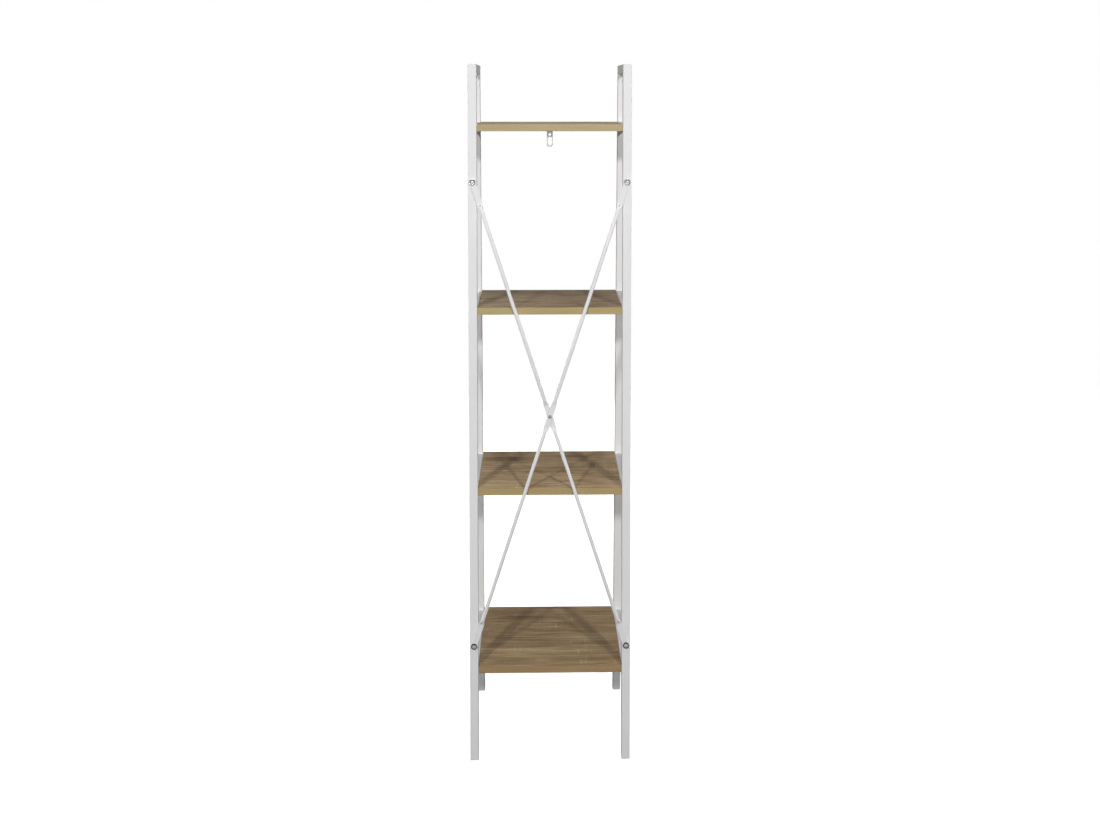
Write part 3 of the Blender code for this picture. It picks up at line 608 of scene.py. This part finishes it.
def add_piece(name, mesh, nodes, materials, flat_faces=True):
    """Add a piece that rides on the body, hides the nodes it stands for and takes the given materials.
    """
    item = add_object(name, mesh)
    for material in materials:
        mesh.materials.append(material)
    mesh.shade_smooth()
    mesh.set_sharp_from_angle(angle=SHARP_ANGLE)
    if flat_faces:
        weighted = item.modifiers.new("flat_faces", "WEIGHTED_NORMAL")
        weighted.keep_sharp = True
        weighted.weight = 100
    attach(item, BODY)
    if nodes:
        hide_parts(*nodes)
    return item


# Side frames


def front_face(z):
    """Y of the leaning posts' front face at a height."""
    return REAR_Y - DEPTH_AT_FLOOR + LEAN_SLOPE * z


def post_back(z):
    """Y of the leaning posts' rear face at a height."""
    return front_face(z) + POST_DEPTH


def board_top(level):
    """Height of a board's top face, counting levels from 0 at the lowest."""
    return LOWEST_BOARD_TOP + level * BOARD_PITCH


def square_tube(name, start, end, low_slope, high_slope):
    """Square tube between two centreline points of a side frame, with sloped ends."""
    run = Vector(end) - Vector(start)
    outline = rounded_square(TUBE_SIDE, TUBE_CORNER)
    rings = [
        [(x, y, low_slope * y) for x, y in outline],
        [(x, y, run.length + high_slope * y) for x, y in outline],
    ]
    turn = Matrix.Rotation(math.atan2(-run.y, run.z), 4, "X")
    return lofted(name, rings, Matrix.Translation(start) @ turn)


def top_corners():
    """Centreline corners of the top rail as (y, z), at the rear post and at the front post."""
    z = HEIGHT - TUBE_SIDE / 2
    mitre_depth = TUBE_SIDE / math.tan(math.pi / 4 + LEAN / 2)
    return (REAR_Y - TUBE_SIDE / 2, z), (front_face(HEIGHT) + mitre_depth / 2, z)


def make_side_frame(side, sign, coat):
    """Posts, top rail and shelf rails of one side."""
    x = sign * POST_X
    (rear_y, top_z), (front_y, _) = top_corners()
    rear_mitre = 1.0
    front_mitre = 1 / math.tan(math.pi / 4 + LEAN / 2)
    foot_y = front_face(POST_FOOT) + POST_DEPTH / 2
    tubes = {
        "rear_post": ((x, rear_y, POST_FOOT), (x, rear_y, top_z), 0, rear_mitre),
        "front_post": ((x, foot_y, POST_FOOT), (x, front_y, top_z), LEAN_SLOPE, -front_mitre),
        "top_rail": ((x, rear_y, top_z), (x, front_y, top_z), -rear_mitre, front_mitre),
    }
    for level in range(BOARD_COUNT):
        z = board_top(level) - TUBE_SIDE / 2
        start, end = (x, REAR_Y - TUBE_SIDE, z), (x, post_back(z), z)
        tubes[f"shelf_rail_{level + 1}"] = (start, end, 0, -LEAN_SLOPE)
    for part, line in tubes.items():
        node = f"{side}_{part}"
        add_piece(node + "_tube", square_tube(node, *line), [node], [coat])


def weld_bead(solid, start, end, sides, outward, size, height):
    """Rippled bead along a seam, rounded from one side's direction to the other's."""
    length = (end - start).length
    steps_per_ripple, arc_steps = 5, 8
    count = max(8, round(length / WELD_RIPPLE * steps_per_ripple))
    rings = []
    for index in range(count + 1):
        travel = index / count
        wave = abs(math.sin(math.pi * travel * length / WELD_RIPPLE))
        taper = math.sin(math.pi * min(0.5, 8 * min(travel, 1 - travel)))
        girth = size * (0.55 + 0.45 * taper) * (0.9 + 0.1 * wave)
        rise = height * taper * (0.75 + 0.25 * wave)
        centre = start + (end - start) * travel
        ring = []
        for step in range(arc_steps + 1):
            share = step / arc_steps
            crown = outward * rise * math.sin(math.pi * share)
            ring.append(centre + sides[0].lerp(sides[1], share) * girth + crown)
        ring.append(centre - outward * height * 0.8)
        rings.append(ring)
    skin(solid, rings)


def rail_welds(solid, x):
    """Beads across the tops and undersides of the rails where they meet the posts."""
    half = TUBE_SIDE / 2 - TUBE_CORNER
    lean = Vector((0, LEAN_SLOPE, 1)).normalized()
    seams = []
    for level in range(BOARD_COUNT):
        seams.append((board_top(level), 1, WELD_AT_RAIL))
        seams.append((board_top(level) - TUBE_SIDE, -1, WELD_AT_RAIL))
    seams.append((HEIGHT - TUBE_SIDE, -1, WELD_IN_CORNER))
    for z, away, size in seams:
        for y, post, inward in ((REAR_Y - TUBE_SIDE, UP, -REAR), (post_back(z), lean, REAR)):
            start, end = Vector((x - half, y, z)), Vector((x + half, y, z))
            sides = (post * away, inward)
            outward = (sides[0] + sides[1]).normalized()
            weld_bead(solid, start, end, sides, outward, size, WELD_HEIGHT)


def mitre_welds(solid, x):
    """Beads along both mitres of the top rail, on the inner and on the outer face."""
    (rear_y, z), (front_y, _) = top_corners()
    turn = math.pi / 4 + LEAN / 2
    rear_line = Vector((0, 1, 1)).normalized()
    front_line = Vector((0, -math.cos(turn), math.sin(turn)))
    for y, line in ((rear_y, rear_line), (front_y, front_line)):
        reach = (TUBE_SIDE / 2 - TUBE_CORNER * 0.7) / line.z
        for face in (-1, 1):
            middle = Vector((x + face * TUBE_SIDE / 2, y, z))
            outward = Vector((face, 0, 0))
            across = line.cross(outward)
            start, end = middle - line * reach, middle + line * reach
            sides = (across, -across)
            weld_bead(solid, start, end, sides, outward, WELD_ON_MITRE, WELD_ON_MITRE_HEIGHT)


def make_welds(side, sign, coat):
    """Weld beads where rails meet posts and at the mitred corners, under the powder coat."""
    solid = bmesh.new()
    rail_welds(solid, sign * POST_X)
    mitre_welds(solid, sign * POST_X)
    mesh = mesh_of(side + "_welds", solid)
    add_piece(side + "_weld_beads", mesh, [], [coat], flat_faces=False)


def make_foot(name, place, lean, material):
    """Foot plug's flange: rounded lower edge, and a moulded recess under the sole."""
    height = PLUG_FLANGE / math.cos(lean)
    recess = TUBE_SIDE - 2 * PLUG_RECESS_INSET
    rings = [
        (recess - 2 * PLUG_RECESS_DEPTH, PLUG_RECESS_CORNER, PLUG_RECESS_DEPTH),
        (recess, PLUG_RECESS_CORNER, 0),
    ]
    edge_steps = 4
    for step in range(edge_steps + 1):
        angle = step / edge_steps * math.pi / 2
        inset = PLUG_EDGE * (1 - math.sin(angle))
        rings.append((TUBE_SIDE - 2 * inset, TUBE_CORNER, PLUG_EDGE * (1 - math.cos(angle))))
    rings.append((TUBE_SIDE, TUBE_CORNER, height - PLUG_LIP_HEIGHT))
    rings.append((TUBE_SIDE - 2 * PLUG_LIP_WIDTH, TUBE_CORNER, height))
    shaped = []
    for width, corner, z in rings:
        shaped.append([(x, y, z + math.tan(lean) * y) for x, y in rounded_square(width, corner)])
    mesh = lofted(name, shaped, Matrix.Translation(place) @ Matrix.Rotation(-lean, 4, "X"))
    add_piece(name + "_moulding", mesh, [name], [material])


def make_feet(material):
    """Foot plugs under all four posts."""
    posts = (("rear", REAR_Y - TUBE_SIDE / 2, 0), ("front", front_face(0) + POST_DEPTH / 2, LEAN))
    for side, sign in SIDES:
        for post, y, lean in posts:
            make_foot(f"foot_plug_{side}_{post}", (sign * POST_X, y, 0), lean, material)


# Boards


def make_board(level, face_material, band_material):
    """Board with banded edges: a rounded arris, and the band's line round both faces."""
    half = INNER_X - FIT_GAP
    top = board_top(level)
    low = Vector((-half, front_face(top), top - BOARD_THICKNESS))
    high = Vector((half, REAR_Y, top))
    solid = bmesh.new()
    bmesh.ops.create_cube(solid, size=1)
    bmesh.ops.scale(solid, vec=high - low, verts=solid.verts)
    bmesh.ops.translate(solid, vec=(high + low) / 2, verts=solid.verts)
    bmesh.ops.bevel(
        solid, geom=solid.edges, offset=BAND_ARRIS, segments=4, profile=0.5, affect="EDGES"
    )
    broad = [f for f in solid.faces if abs(f.normal.z) > 0.99 and f.calc_area() > 0.01]
    inset = BAND_THICKNESS - BAND_ARRIS
    for face in broad:
        bmesh.ops.inset_region(solid, faces=[face], thickness=inset, depth=-BAND_LINE_DEPTH)
    for face in solid.faces:
        face.material_index = 0 if face in broad else 1
    name = f"shelf_board_{level + 1}"
    mesh = mesh_of(name, solid)
    add_piece(name + "_panel", mesh, [name], [face_material, band_material])


# Turned pieces


def circle(radius):
    """Same radius at every angle."""
    return [radius] * TURN_STEPS


def angles_from_middle(sides):
    """Angle from the middle of a regular polygon's nearest side, at each step of a turn."""
    half = math.pi / sides
    return [(angle + half) % (2 * half) - half for angle in TURN_ANGLES]


def hexagon(across_flats):
    """Radius of a hexagon at each angle."""
    return [across_flats / 2 / math.cos(angle) for angle in angles_from_middle(6)]


def cross(length, breadth):
    """Radius of a cross recess at each angle."""
    radii = []
    for angle in angles_from_middle(4):
        tip = length / 2 / math.cos(angle)
        flank = breadth / 2 / max(1e-6, abs(math.sin(angle)))
        radii.append(min(tip, flank))
    return radii


def turned(name, profile, placement):
    """Closed mesh of rings given as radii at each angle and a height."""
    rings = []
    for radii, z in profile:
        around = zip(radii, TURN_ANGLES)
        rings.append([(r * math.cos(angle), r * math.sin(angle), z) for r, angle in around])
    return lofted(name, rings, placement)


def recessed_screw(
    name, placement, radii, shank, length, tip, tip_share, head, height, edge, depth, chamfer, bowl
):
    """Shank that narrows at its tip, under a domed head with a recess of given radii.

    The recess is chamfered at its mouth, and its floor rises like a bowl towards its walls.
    """
    stem, radius, soft, flare = shank / 2, head / 2, edge * 0.35, 1.05
    profile = [(circle(POINT), -length), (circle(stem * tip_share), -length)]
    profile += [(circle(stem), tip - length), (circle(stem), 0)]
    profile += [(circle(radius - soft), 0), (circle(radius), soft)]
    mouth = math.acos((max(radii) * flare + chamfer) / radius)
    dome_steps = 9
    for step in range(dome_steps + 1):
        angle = mouth * step / dome_steps
        z = edge + (height - edge) * math.sin(angle)
        profile.append((circle(radius * math.cos(angle)), z))
    brim = profile[-1][1]
    profile.append(([r * flare for r in radii], brim - chamfer * 0.3))
    profile.append((radii, brim - chamfer))
    for share in (0.97, 0.75, 0.5, 0.25):
        profile.append(([r * share for r in radii], brim - depth + bowl * share * share))
    profile.append((circle(POINT), brim - depth))
    return turned(name, profile, placement)


def make_shelf_screws(material):
    """Screws through the side rails into the boards' ends, each turned to its own angle."""
    for side, sign in SIDES:
        sideways = Matrix.Rotation(sign * math.pi / 2, 4, "Y")
        for level in range(BOARD_COUNT):
            z = board_top(level) - BOARD_THICKNESS / 2
            front = post_back(board_top(level)) + SCREW_INSET
            for place, y in (("rear", REAR_Y - TUBE_SIDE - SCREW_INSET), ("front", front)):
                node = f"shelf_screw_{side}_{level + 1}_{place}"
                seat = Matrix.Translation((sign * WIDTH / 2, y, z)) @ sideways
                spin = Matrix.Rotation((level * 2.1 + y * 90) % math.pi, 4, "Z")
                mesh = recessed_screw(node, seat @ spin, hexagon(SOCKET_FLATS), **SHELF_SCREW)
                add_piece(node + "_turned", mesh, [node], [material])


def make_bolts(metals):
    """Bolts through the brace's ends, each turned to its own angle, the upper ones paler: a lit and a
    shaded copy of one nickel, painted light and shade.
    """
    y = REAR_Y + FIT_GAP + BRACE_FLAT_THICKNESS
    for side, sign in SIDES:
        for place, z in BRACE_ENDS:
            node = f"brace_bolt_{side}_{place}"
            seat = Matrix.Translation((sign * POST_X, y, z)) @ REARWARD
            spin = Matrix.Rotation(sign * 0.3 + z, 4, "Z")
            mesh = recessed_screw(node, seat @ spin, hexagon(SOCKET_FLATS), **BRACE_BOLT)
            # Upper bolts take the painted lit copy of the nickel, lower ones the painted shaded copy
            metal = metals["bolt_nickel_" + place]
            add_piece(node + "_turned", mesh, [node], [metal])


def finish_weld_nuts(material):
    """Finish of the nuts inside the rear posts, which keep their CAD meshes."""
    for side, _ in SIDES:
        for place, _ in BRACE_ENDS:
            for slot in frame["nodes"][f"weld_nut_{side}_{place}"].material_slots:
                slot.link = "OBJECT"
                slot.material = material


# Cross brace


def ease(share):
    """Smooth step from 0 to 1, held outside."""
    share = min(1.0, max(0.0, share))
    return share * share * (3 - 2 * share)


def brace_ring(width_flatness, height_flatness, dent):
    """Ring of the brace tube between a circle and a pressed flat with folded edges."""
    radius = BRACE_TUBE / 2
    half_thickness = BRACE_FLAT_THICKNESS / 2
    edge = BRACE_FLAT_WIDTH / 2 - half_thickness
    ring = []
    for step in range(BRACE_RING_STEPS):
        angle = 2 * math.pi * step / BRACE_RING_STEPS
        circle_x, circle_y = radius * math.cos(angle), radius * math.sin(angle)
        quarter = math.asin(min(1, abs(math.sin(angle)))) * 2 / math.pi
        if quarter < 1 / 2:
            flat_x = edge + half_thickness * math.cos(quarter * math.pi)
            flat_y = half_thickness * math.sin(quarter * math.pi)
        else:
            flat_x = edge * 2 * (1 - quarter)
            flat_y = half_thickness * (1 - BRACE_FLAT_SINK * ease((edge - flat_x) / edge * 3))
        flat_x = math.copysign(flat_x, circle_x)
        flat_y = math.copysign(flat_y, circle_y)
        x = circle_x + (flat_x - circle_x) * width_flatness
        y = circle_y + (flat_y - circle_y) * height_flatness
        y *= 1 - dent * math.exp(-((x / DIMPLE_BREADTH) ** 2))
        ring.append((x, y))
    return ring


def ramp_station(z, share, dimple, flat_y):
    """Station of a ramp, where share 0 is round and share 1 is flat, with the press's dimple."""
    round_y = FIT_GAP + BRACE_TUBE / 2
    broad = ease(share)
    tall = 0.35 * broad + 0.65 * min(1.0, max(0.0, share))
    dent = dimple * math.exp(-(((share - DIMPLE_PLACE) / DIMPLE_SPREAD) ** 2))
    return z, 1, (broad, tall), dent, round_y + (flat_y - round_y) * tall


def brace_stations(crossing_y):
    """Stations of half a brace tube: height, width share, flatness pair, dent and Y."""
    end_y = FIT_GAP + BRACE_FLAT_THICKNESS / 2
    end_ramp = BRACE_HALF - BRACE_END_FLAT - BRACE_PRESS_RAMP
    steps_past, end_steps = 3, 12
    stations = [(0, 1, (1, 1), 0, crossing_y)]
    for step in range(-steps_past, RAMP_STEPS + 1):
        travel = step / RAMP_STEPS
        z = BRACE_CROSSING_FLAT + BRACE_PRESS_RAMP * travel
        stations.append(ramp_station(z, 1 - travel, DIMPLE_AT_CROSSING, crossing_y))
    for step in range(RAMP_STEPS + steps_past + 1):
        travel = step / RAMP_STEPS
        z = end_ramp + BRACE_PRESS_RAMP * travel
        stations.append(ramp_station(z, travel, DIMPLE_AT_END, end_y))
    for step in range(end_steps):
        angle = step / end_steps * math.pi / 2
        z = BRACE_HALF + BRACE_END_MARGIN + BRACE_FLAT_WIDTH / 2 * math.sin(angle)
        stations.append((z, math.cos(angle), (1, 1), 0, end_y))
    return stations


def make_brace_tube(name, crossing_y, sign, material):
    """Round tube pressed flat at its ends and at the crossing."""
    upper = []
    for z, width_share, flatness, dent, centre_y in brace_stations(crossing_y):
        ring = brace_ring(*flatness, dent)
        upper.append([(x * width_share, y + centre_y, z) for x, y in ring])
    lower = [[(x, y, -z) for x, y, z in ring] for ring in reversed(upper[1:])]
    centre = Matrix.Translation((0, REAR_Y, BRACE_CENTRE))
    placement = centre @ Matrix.Rotation(sign * BRACE_ANGLE, 4, "Y")
    mesh = lofted(name, lower + upper, placement)
    add_piece(name + "_pressed", mesh, [name], [material], flat_faces=False)


def make_rivet(tail, seat, material):
    """Rivet between the crossing's two outer faces, with a flared tail and a hollow head."""
    radius, hollow = RIVET_HEAD / 2, RIVET_HOLLOW / 2
    tail_steps, head_steps = 6, 7
    profile = [(POINT, tail - RIVET_TAIL_HEIGHT)]
    for step in range(tail_steps + 1):
        angle = step / tail_steps * math.pi / 2
        flare = RIVET_TAIL / 2 * (0.5 + 0.5 * math.sin(angle))
        profile.append((flare, tail - RIVET_TAIL_HEIGHT * math.cos(angle)))
    profile += [(RIVET_SHANK / 2, tail), (RIVET_SHANK / 2, seat), (radius, seat)]
    for step in range(1, head_steps + 1):
        angle = step / head_steps * math.pi * 0.72
        rim = radius - (radius - hollow) * 0.5 * (1 - math.cos(angle))
        profile.append((rim, seat + RIVET_HEAD_HEIGHT * math.sin(angle)))
    profile += [(hollow, seat + RIVET_HEAD_HEIGHT * 0.55), (hollow * 0.9, seat), (POINT, seat)]
    placement = Matrix.Translation((0, REAR_Y, BRACE_CENTRE)) @ REARWARD
    mesh = turned("brace_rivet", [(circle(r), z) for r, z in profile], placement)
    add_piece("brace_rivet_turned", mesh, ["brace_rivet"], [material])


def make_brace(coat, rivet_material):
    """Both brace tubes and the rivet through their crossing."""
    middle = FIT_GAP + BRACE_TUBE / 2
    apart = (BRACE_FLAT_THICKNESS + FIT_GAP) / 2
    make_brace_tube("cross_brace_inner", middle - apart, 1, coat)
    make_brace_tube("cross_brace_outer", middle + apart, -1, coat)
    grip = apart + BRACE_FLAT_THICKNESS / 2
    make_rivet(middle - grip, middle + grip, rivet_material)


# Wall bracket


def strip_ring(y, z, half, tangent):
    """Ring round the bracket's sheet with softened edges, square to the strip's run."""
    across = Vector((0, -tangent[1], tangent[0]))
    soft = BRACKET_SOFT_EDGE
    ring = []
    for side_x, side_t in ((1, -1), (1, 1), (-1, 1), (-1, -1)):
        centre_x, centre_t = side_x * (half - soft), side_t * (BRACKET_SHEET / 2 - soft)
        for step in range(4):
            angle = step / 3 * math.pi / 2
            first, second = math.cos(angle), math.sin(angle)
            if side_x * side_t < 0:
                first, second = second, first
            x = centre_x + side_x * soft * first
            t = centre_t + side_t * soft * second
            ring.append(Vector((x, y, z)) + across * t)
    return ring


def bracket_rows():
    """Rows of the bent sheet, from the leg's end round the bend to the rounded lower end.

    Each row is the y, z and half width of its middle line, and the run's direction as (y, z).
    """
    half = BRACKET_WIDTH / 2
    top = -FIT_GAP - BRACKET_SHEET / 2
    back = -BRACKET_SHEET / 2
    bend = BRACKET_BEND + BRACKET_SHEET / 2
    before_bend = 0.0005
    bend_steps, corner_steps = 12, 13
    rows = [(-BRACKET_LEG, top, half, (1, 0)), (back - bend - before_bend, top, half, (1, 0))]
    for step in range(bend_steps + 1):
        angle = step / bend_steps * math.pi / 2
        y, z = back - bend + bend * math.sin(angle), top - bend + bend * math.cos(angle)
        rows.append((y, z, half, (math.cos(angle), -math.sin(angle))))
    for step in range(corner_steps):
        angle = step / corner_steps * math.pi / 2
        z = BRACKET_CORNER * (1 - math.sin(angle)) - BRACKET_DROP
        rows.append((back, z, half - BRACKET_CORNER * (1 - math.cos(angle)), (0, -1)))
    rows.append((back, -BRACKET_DROP, half - BRACKET_CORNER, (0, -1)))
    return rows


def arc(radius, first, last, rise=0.0):
    """Points from a first to a last step of a turn, round a centre at a rise."""
    angles = [2 * math.pi * step / TURN_STEPS for step in range(first, last + 1)]
    return [(radius * math.cos(angle), rise + radius * math.sin(angle)) for angle in angles]


def bracket_openings():
    """Outline and drop of the bracket's slot, then of its hole."""
    slot_top = BRACKET_HOLE_DROP + BRACKET_HOLE / 2 + BRACKET_WEB
    slot_bottom = BRACKET_DROP - BRACKET_WEB
    radius = BRACKET_WIDTH / 2 - BRACKET_SIDE_WEB
    reach = (slot_bottom - slot_top) / 2 - radius
    half_turn = TURN_STEPS // 2
    slot = arc(radius, 0, half_turn, reach) + arc(radius, half_turn, TURN_STEPS, -reach)
    hole = arc(BRACKET_HOLE / 2, 0, TURN_STEPS - 1)
    return (slot, (slot_top + slot_bottom) / 2), (hole, BRACKET_HOLE_DROP)


def cut_bracket(corner):
    """Mesh of the bent sheet with its openings cut through the leg that hangs down."""
    rings = [strip_ring(*row) for row in bracket_rows()]
    blank = add_object("bracket_blank", lofted("wall_bracket", rings, corner))
    inner_end, outer_end = -3 * BRACKET_SHEET, 2 * BRACKET_SHEET
    cutters = []
    for outline, drop in bracket_openings():
        ends = [[(x, y, z) for x, y in outline] for z in (inner_end, outer_end)]
        place = corner @ Matrix.Translation((0, 0, -drop)) @ REARWARD
        cutter = add_object("cutter", lofted("cutter", ends, place))
        cut = blank.modifiers.new("cut", "BOOLEAN")
        cut.operation = "DIFFERENCE"
        cut.solver = "EXACT"
        cut.object = cutter
        cutters.append(cutter)
    bpy.context.view_layer.update()
    depsgraph = bpy.context.evaluated_depsgraph_get()
    mesh = bpy.data.meshes.new_from_object(blank.evaluated_get(depsgraph))
    for extra in (blank, *cutters):
        bpy.data.objects.remove(extra, do_unlink=True)
    return mesh


def make_bracket(material):
    """Bent sheet with a hole and a slot in the leg that hangs down."""
    mesh = cut_bracket(Matrix.Translation((0, REAR_Y, BRACKET_TOP)))
    bracket = add_piece("wall_bracket_sheet", mesh, ["wall_bracket"], [material])
    rim = bracket.modifiers.new("soft_edges", "BEVEL")
    rim.width = BRACKET_SOFT_RIM
    rim.segments = 2
    rim.limit_method = "ANGLE"
    rim.angle_limit = math.radians(50)
    bracket.modifiers.move(1, 0)


def make_bracket_screw(material):
    """Screw with a crossed recess, up through the bracket into the top board."""
    z = BRACKET_TOP - BRACKET_SHEET - FIT_GAP
    seat = Matrix.Translation((0, REAR_Y + BRACKET_SCREW_Y, z)) @ DOWNWARD
    mesh = recessed_screw("bracket_screw", seat, cross(*BRACKET_SCREW_CROSS), **BRACKET_SCREW)
    add_piece("bracket_screw_turned", mesh, ["bracket_screw"], [material])


# Studio


def make_floor():
    """Plain pale floor that fades into the white surround."""
    solid = bmesh.new()
    bmesh.ops.create_circle(solid, cap_ends=True, segments=96, radius=FLOOR_RADIUS)
    floor = add_object("floor", mesh_of("floor", solid))
    material, nodes, place = new_material("floor_pale")
    distance = nodes.add("ShaderNodeVectorMath", {0: place}, operation="LENGTH").outputs["Value"]
    fade = nodes.span(distance, *FLOOR_FADE, 0.0, 1.0)
    colour = nodes.blend(nodes.noise(place, 3), *FLOOR_PAINT)
    paint = nodes.add("ShaderNodeBsdfDiffuse", {"Color": colour}).outputs[0]
    glow = nodes.add("ShaderNodeEmission", {"Strength": FLOOR_GLOW}).outputs[0]
    bright = nodes.add("ShaderNodeAddShader", {0: paint, 1: glow}).outputs[0]
    clear = nodes.add("ShaderNodeBsdfTransparent").outputs[0]
    mixed = nodes.add("ShaderNodeMixShader", {0: fade, 1: bright, 2: clear}).outputs[0]
    nodes.add("ShaderNodeOutputMaterial", {"Surface": mixed})
    floor.data.materials.append(material)
    floor.visible_diffuse = False
    floor.visible_glossy = False


def reflected_surround(nodes, axes):
    """Strength of the surround in reflections, by direction.

    A low wall stands in front, the sides are brighter than the middle, and the camera's side
    has a broad sweep and a small glint below the horizon.
    """
    aside = nodes.offset(axes["X"], 0.0)
    wall = nodes.near(nodes.offset(axes["Z"], 0.0), 0.06, 0.24)
    wall = nodes.math("MULTIPLY", wall, nodes.span(axes["Y"], -0.7, -0.3, WALL_STRENGTH, 0.0))
    sweep = nodes.near(nodes.offset(axes["Z"], SWEEP_Z), 0.10, 0.22)
    sweep = nodes.math("MULTIPLY", sweep, nodes.near(aside, 0.2, 0.4))
    glint = nodes.near(nodes.math("MAXIMUM", nodes.offset(axes["Z"], GLINT_Z), aside), 0.06, 0.12)
    bright = nodes.math("MULTIPLY", sweep, SWEEP_STRENGTH)
    bright = nodes.math("MULTIPLY_ADD", glint, GLINT_STRENGTH, bright)
    bright = nodes.math("MULTIPLY", bright, nodes.span(axes["Y"], 0.3, 0.6, 0.0, 1.0))
    sides = nodes.span(aside, 0.5, 0.8, MIDDLE_STRENGTH, SIDES_STRENGTH)
    return nodes.math("ADD", nodes.math("ADD", wall, bright), sides)


def make_world():
    """Surround: white to the camera, dim and even as a light, and shaped in reflections."""
    world = bpy.data.worlds.new("surround")
    world.use_nodes = True
    nodes = Nodes(world.node_tree)
    ray = nodes.add("ShaderNodeLightPath").outputs
    direction = nodes.add("ShaderNodeTexCoord").outputs["Generated"]
    reflected = reflected_surround(nodes, nodes.axes(direction))
    strength = nodes.math("MULTIPLY", reflected, ray["Is Glossy Ray"])
    strength = nodes.math("MAXIMUM", strength, EVEN_LIGHT)
    strength = nodes.math("MAXIMUM", strength, ray["Is Camera Ray"])
    light = nodes.add("ShaderNodeBackground", {"Color": (1, 1, 1, 1), "Strength": strength})
    nodes.add("ShaderNodeOutputWorld", {"Surface": light.outputs[0]})
    bpy.context.scene.world = world


def soft_light(name, place, target, size, watts, spread):
    """Rectangular soft light aimed at a point, with its beam's spread in degrees."""
    lamp = bpy.data.lights.new(name, "AREA")
    lamp.shape = "RECTANGLE"
    lamp.size, lamp.size_y = size
    lamp.energy = watts
    lamp.spread = math.radians(spread)
    item = add_object(name, lamp)
    item.location = place
    aim = Vector(target) - Vector(place)
    item.rotation_euler = aim.to_track_quat("-Z", "Y").to_euler()
    return item


def flag(light, side):
    """Keep a light off one side's frame, as a flag between the frames would."""
    shaded = bpy.data.collections.new(light.name + "_flag")
    for item in bpy.context.scene.collection.objects:
        if item.name.startswith((side, "foot_plug_" + side)):
            shaded.objects.link(item)
    for member in shaded.collection_objects:
        member.light_linking.link_state = "EXCLUDE"
    light.light_linking.receiver_collection = shaded


def make_lights():
    """Soft keys from both sides above the camera, a soft box overhead, and low fills all round."""
    for name, (place, target, size, watts, spread, reflected, kept_off) in LIGHTS.items():
        light = soft_light(name, place, target, size, watts, spread)
        light.visible_glossy = reflected
        if kept_off:
            flag(light, kept_off)


def make_camera():
    """Camera at the photograph's place and angle, shifted to its framing."""
    lens = bpy.data.cameras.new("photo_camera")
    lens.sensor_fit = "HORIZONTAL"
    lens.sensor_width = SENSOR_WIDTH
    lens.lens = FOCAL_PIXELS / PHOTO_WIDTH * SENSOR_WIDTH
    lens.shift_x = (PHOTO_WIDTH / 2 - PRINCIPAL_POINT[0]) / PHOTO_WIDTH
    lens.shift_y = (PRINCIPAL_POINT[1] - PHOTO_HEIGHT / 2) / PHOTO_WIDTH
    lens.dof.use_dof = False
    camera = add_object("photo_camera", lens)
    ahead = Vector((
        -math.sin(CAMERA_YAW) * math.cos(CAMERA_PITCH),
        -math.cos(CAMERA_YAW) * math.cos(CAMERA_PITCH),
        -math.sin(CAMERA_PITCH),
    ))
    camera.location = CAMERA_PLACE
    camera.rotation_euler = ahead.to_track_quat("-Z", "Y").to_euler()
    bpy.context.scene.camera = camera


def main():
    """Make every piece, then the studio."""
    bpy.context.scene.view_settings.view_transform = "Standard"
    coat = powder_coat("powder_white", *COAT)
    # The brace's coat has shade painted into its dimples
    brace_shaded_coat = powder_coat("brace_powder_white", *BRACE_COAT, shaded_dimples=True)
    # The bracket's coat has the board's shadow painted on its upper part
    bracket_shadowed_coat = shadowed_coat("bracket_powder_white", *BRACKET_COAT, BRACKET_SHADOW_TONE)
    plug = plastic("plug_plastic_white", *PLUG_PLASTIC)
    metals = {name: plated(name, *finish) for name, finish in PLATINGS.items()}
    for side, sign in SIDES:
        make_side_frame(side, sign, coat)
        make_welds(side, sign, coat)
    make_feet(plug)
    # Each board's tones times its factors, which paint its light and the highest boards' sheen
    for level, (seed, painted_light_factors, pith, knots) in enumerate(BOARD_PRINTS):
        tones = [[part * factor for part, factor in zip(tone, painted_light_factors)] for tone in FACE_TONES]
        face = oak_face(f"oak_face_{level + 1}", seed, pith, tones, knots)
        band = oak_band(f"oak_band_{level + 1}", seed, BAND_TONES[level])
        make_board(level, face, band)
    make_shelf_screws(metals["screw_nickel"])
    make_bolts(metals)
    finish_weld_nuts(metals["nut_zinc"])
    make_brace(brace_shaded_coat, metals["rivet_nickel"])
    make_bracket(bracket_shadowed_coat)
    make_bracket_screw(metals["screw_nickel"])
    make_floor()
    make_world()
    make_lights()
    make_camera()


main()
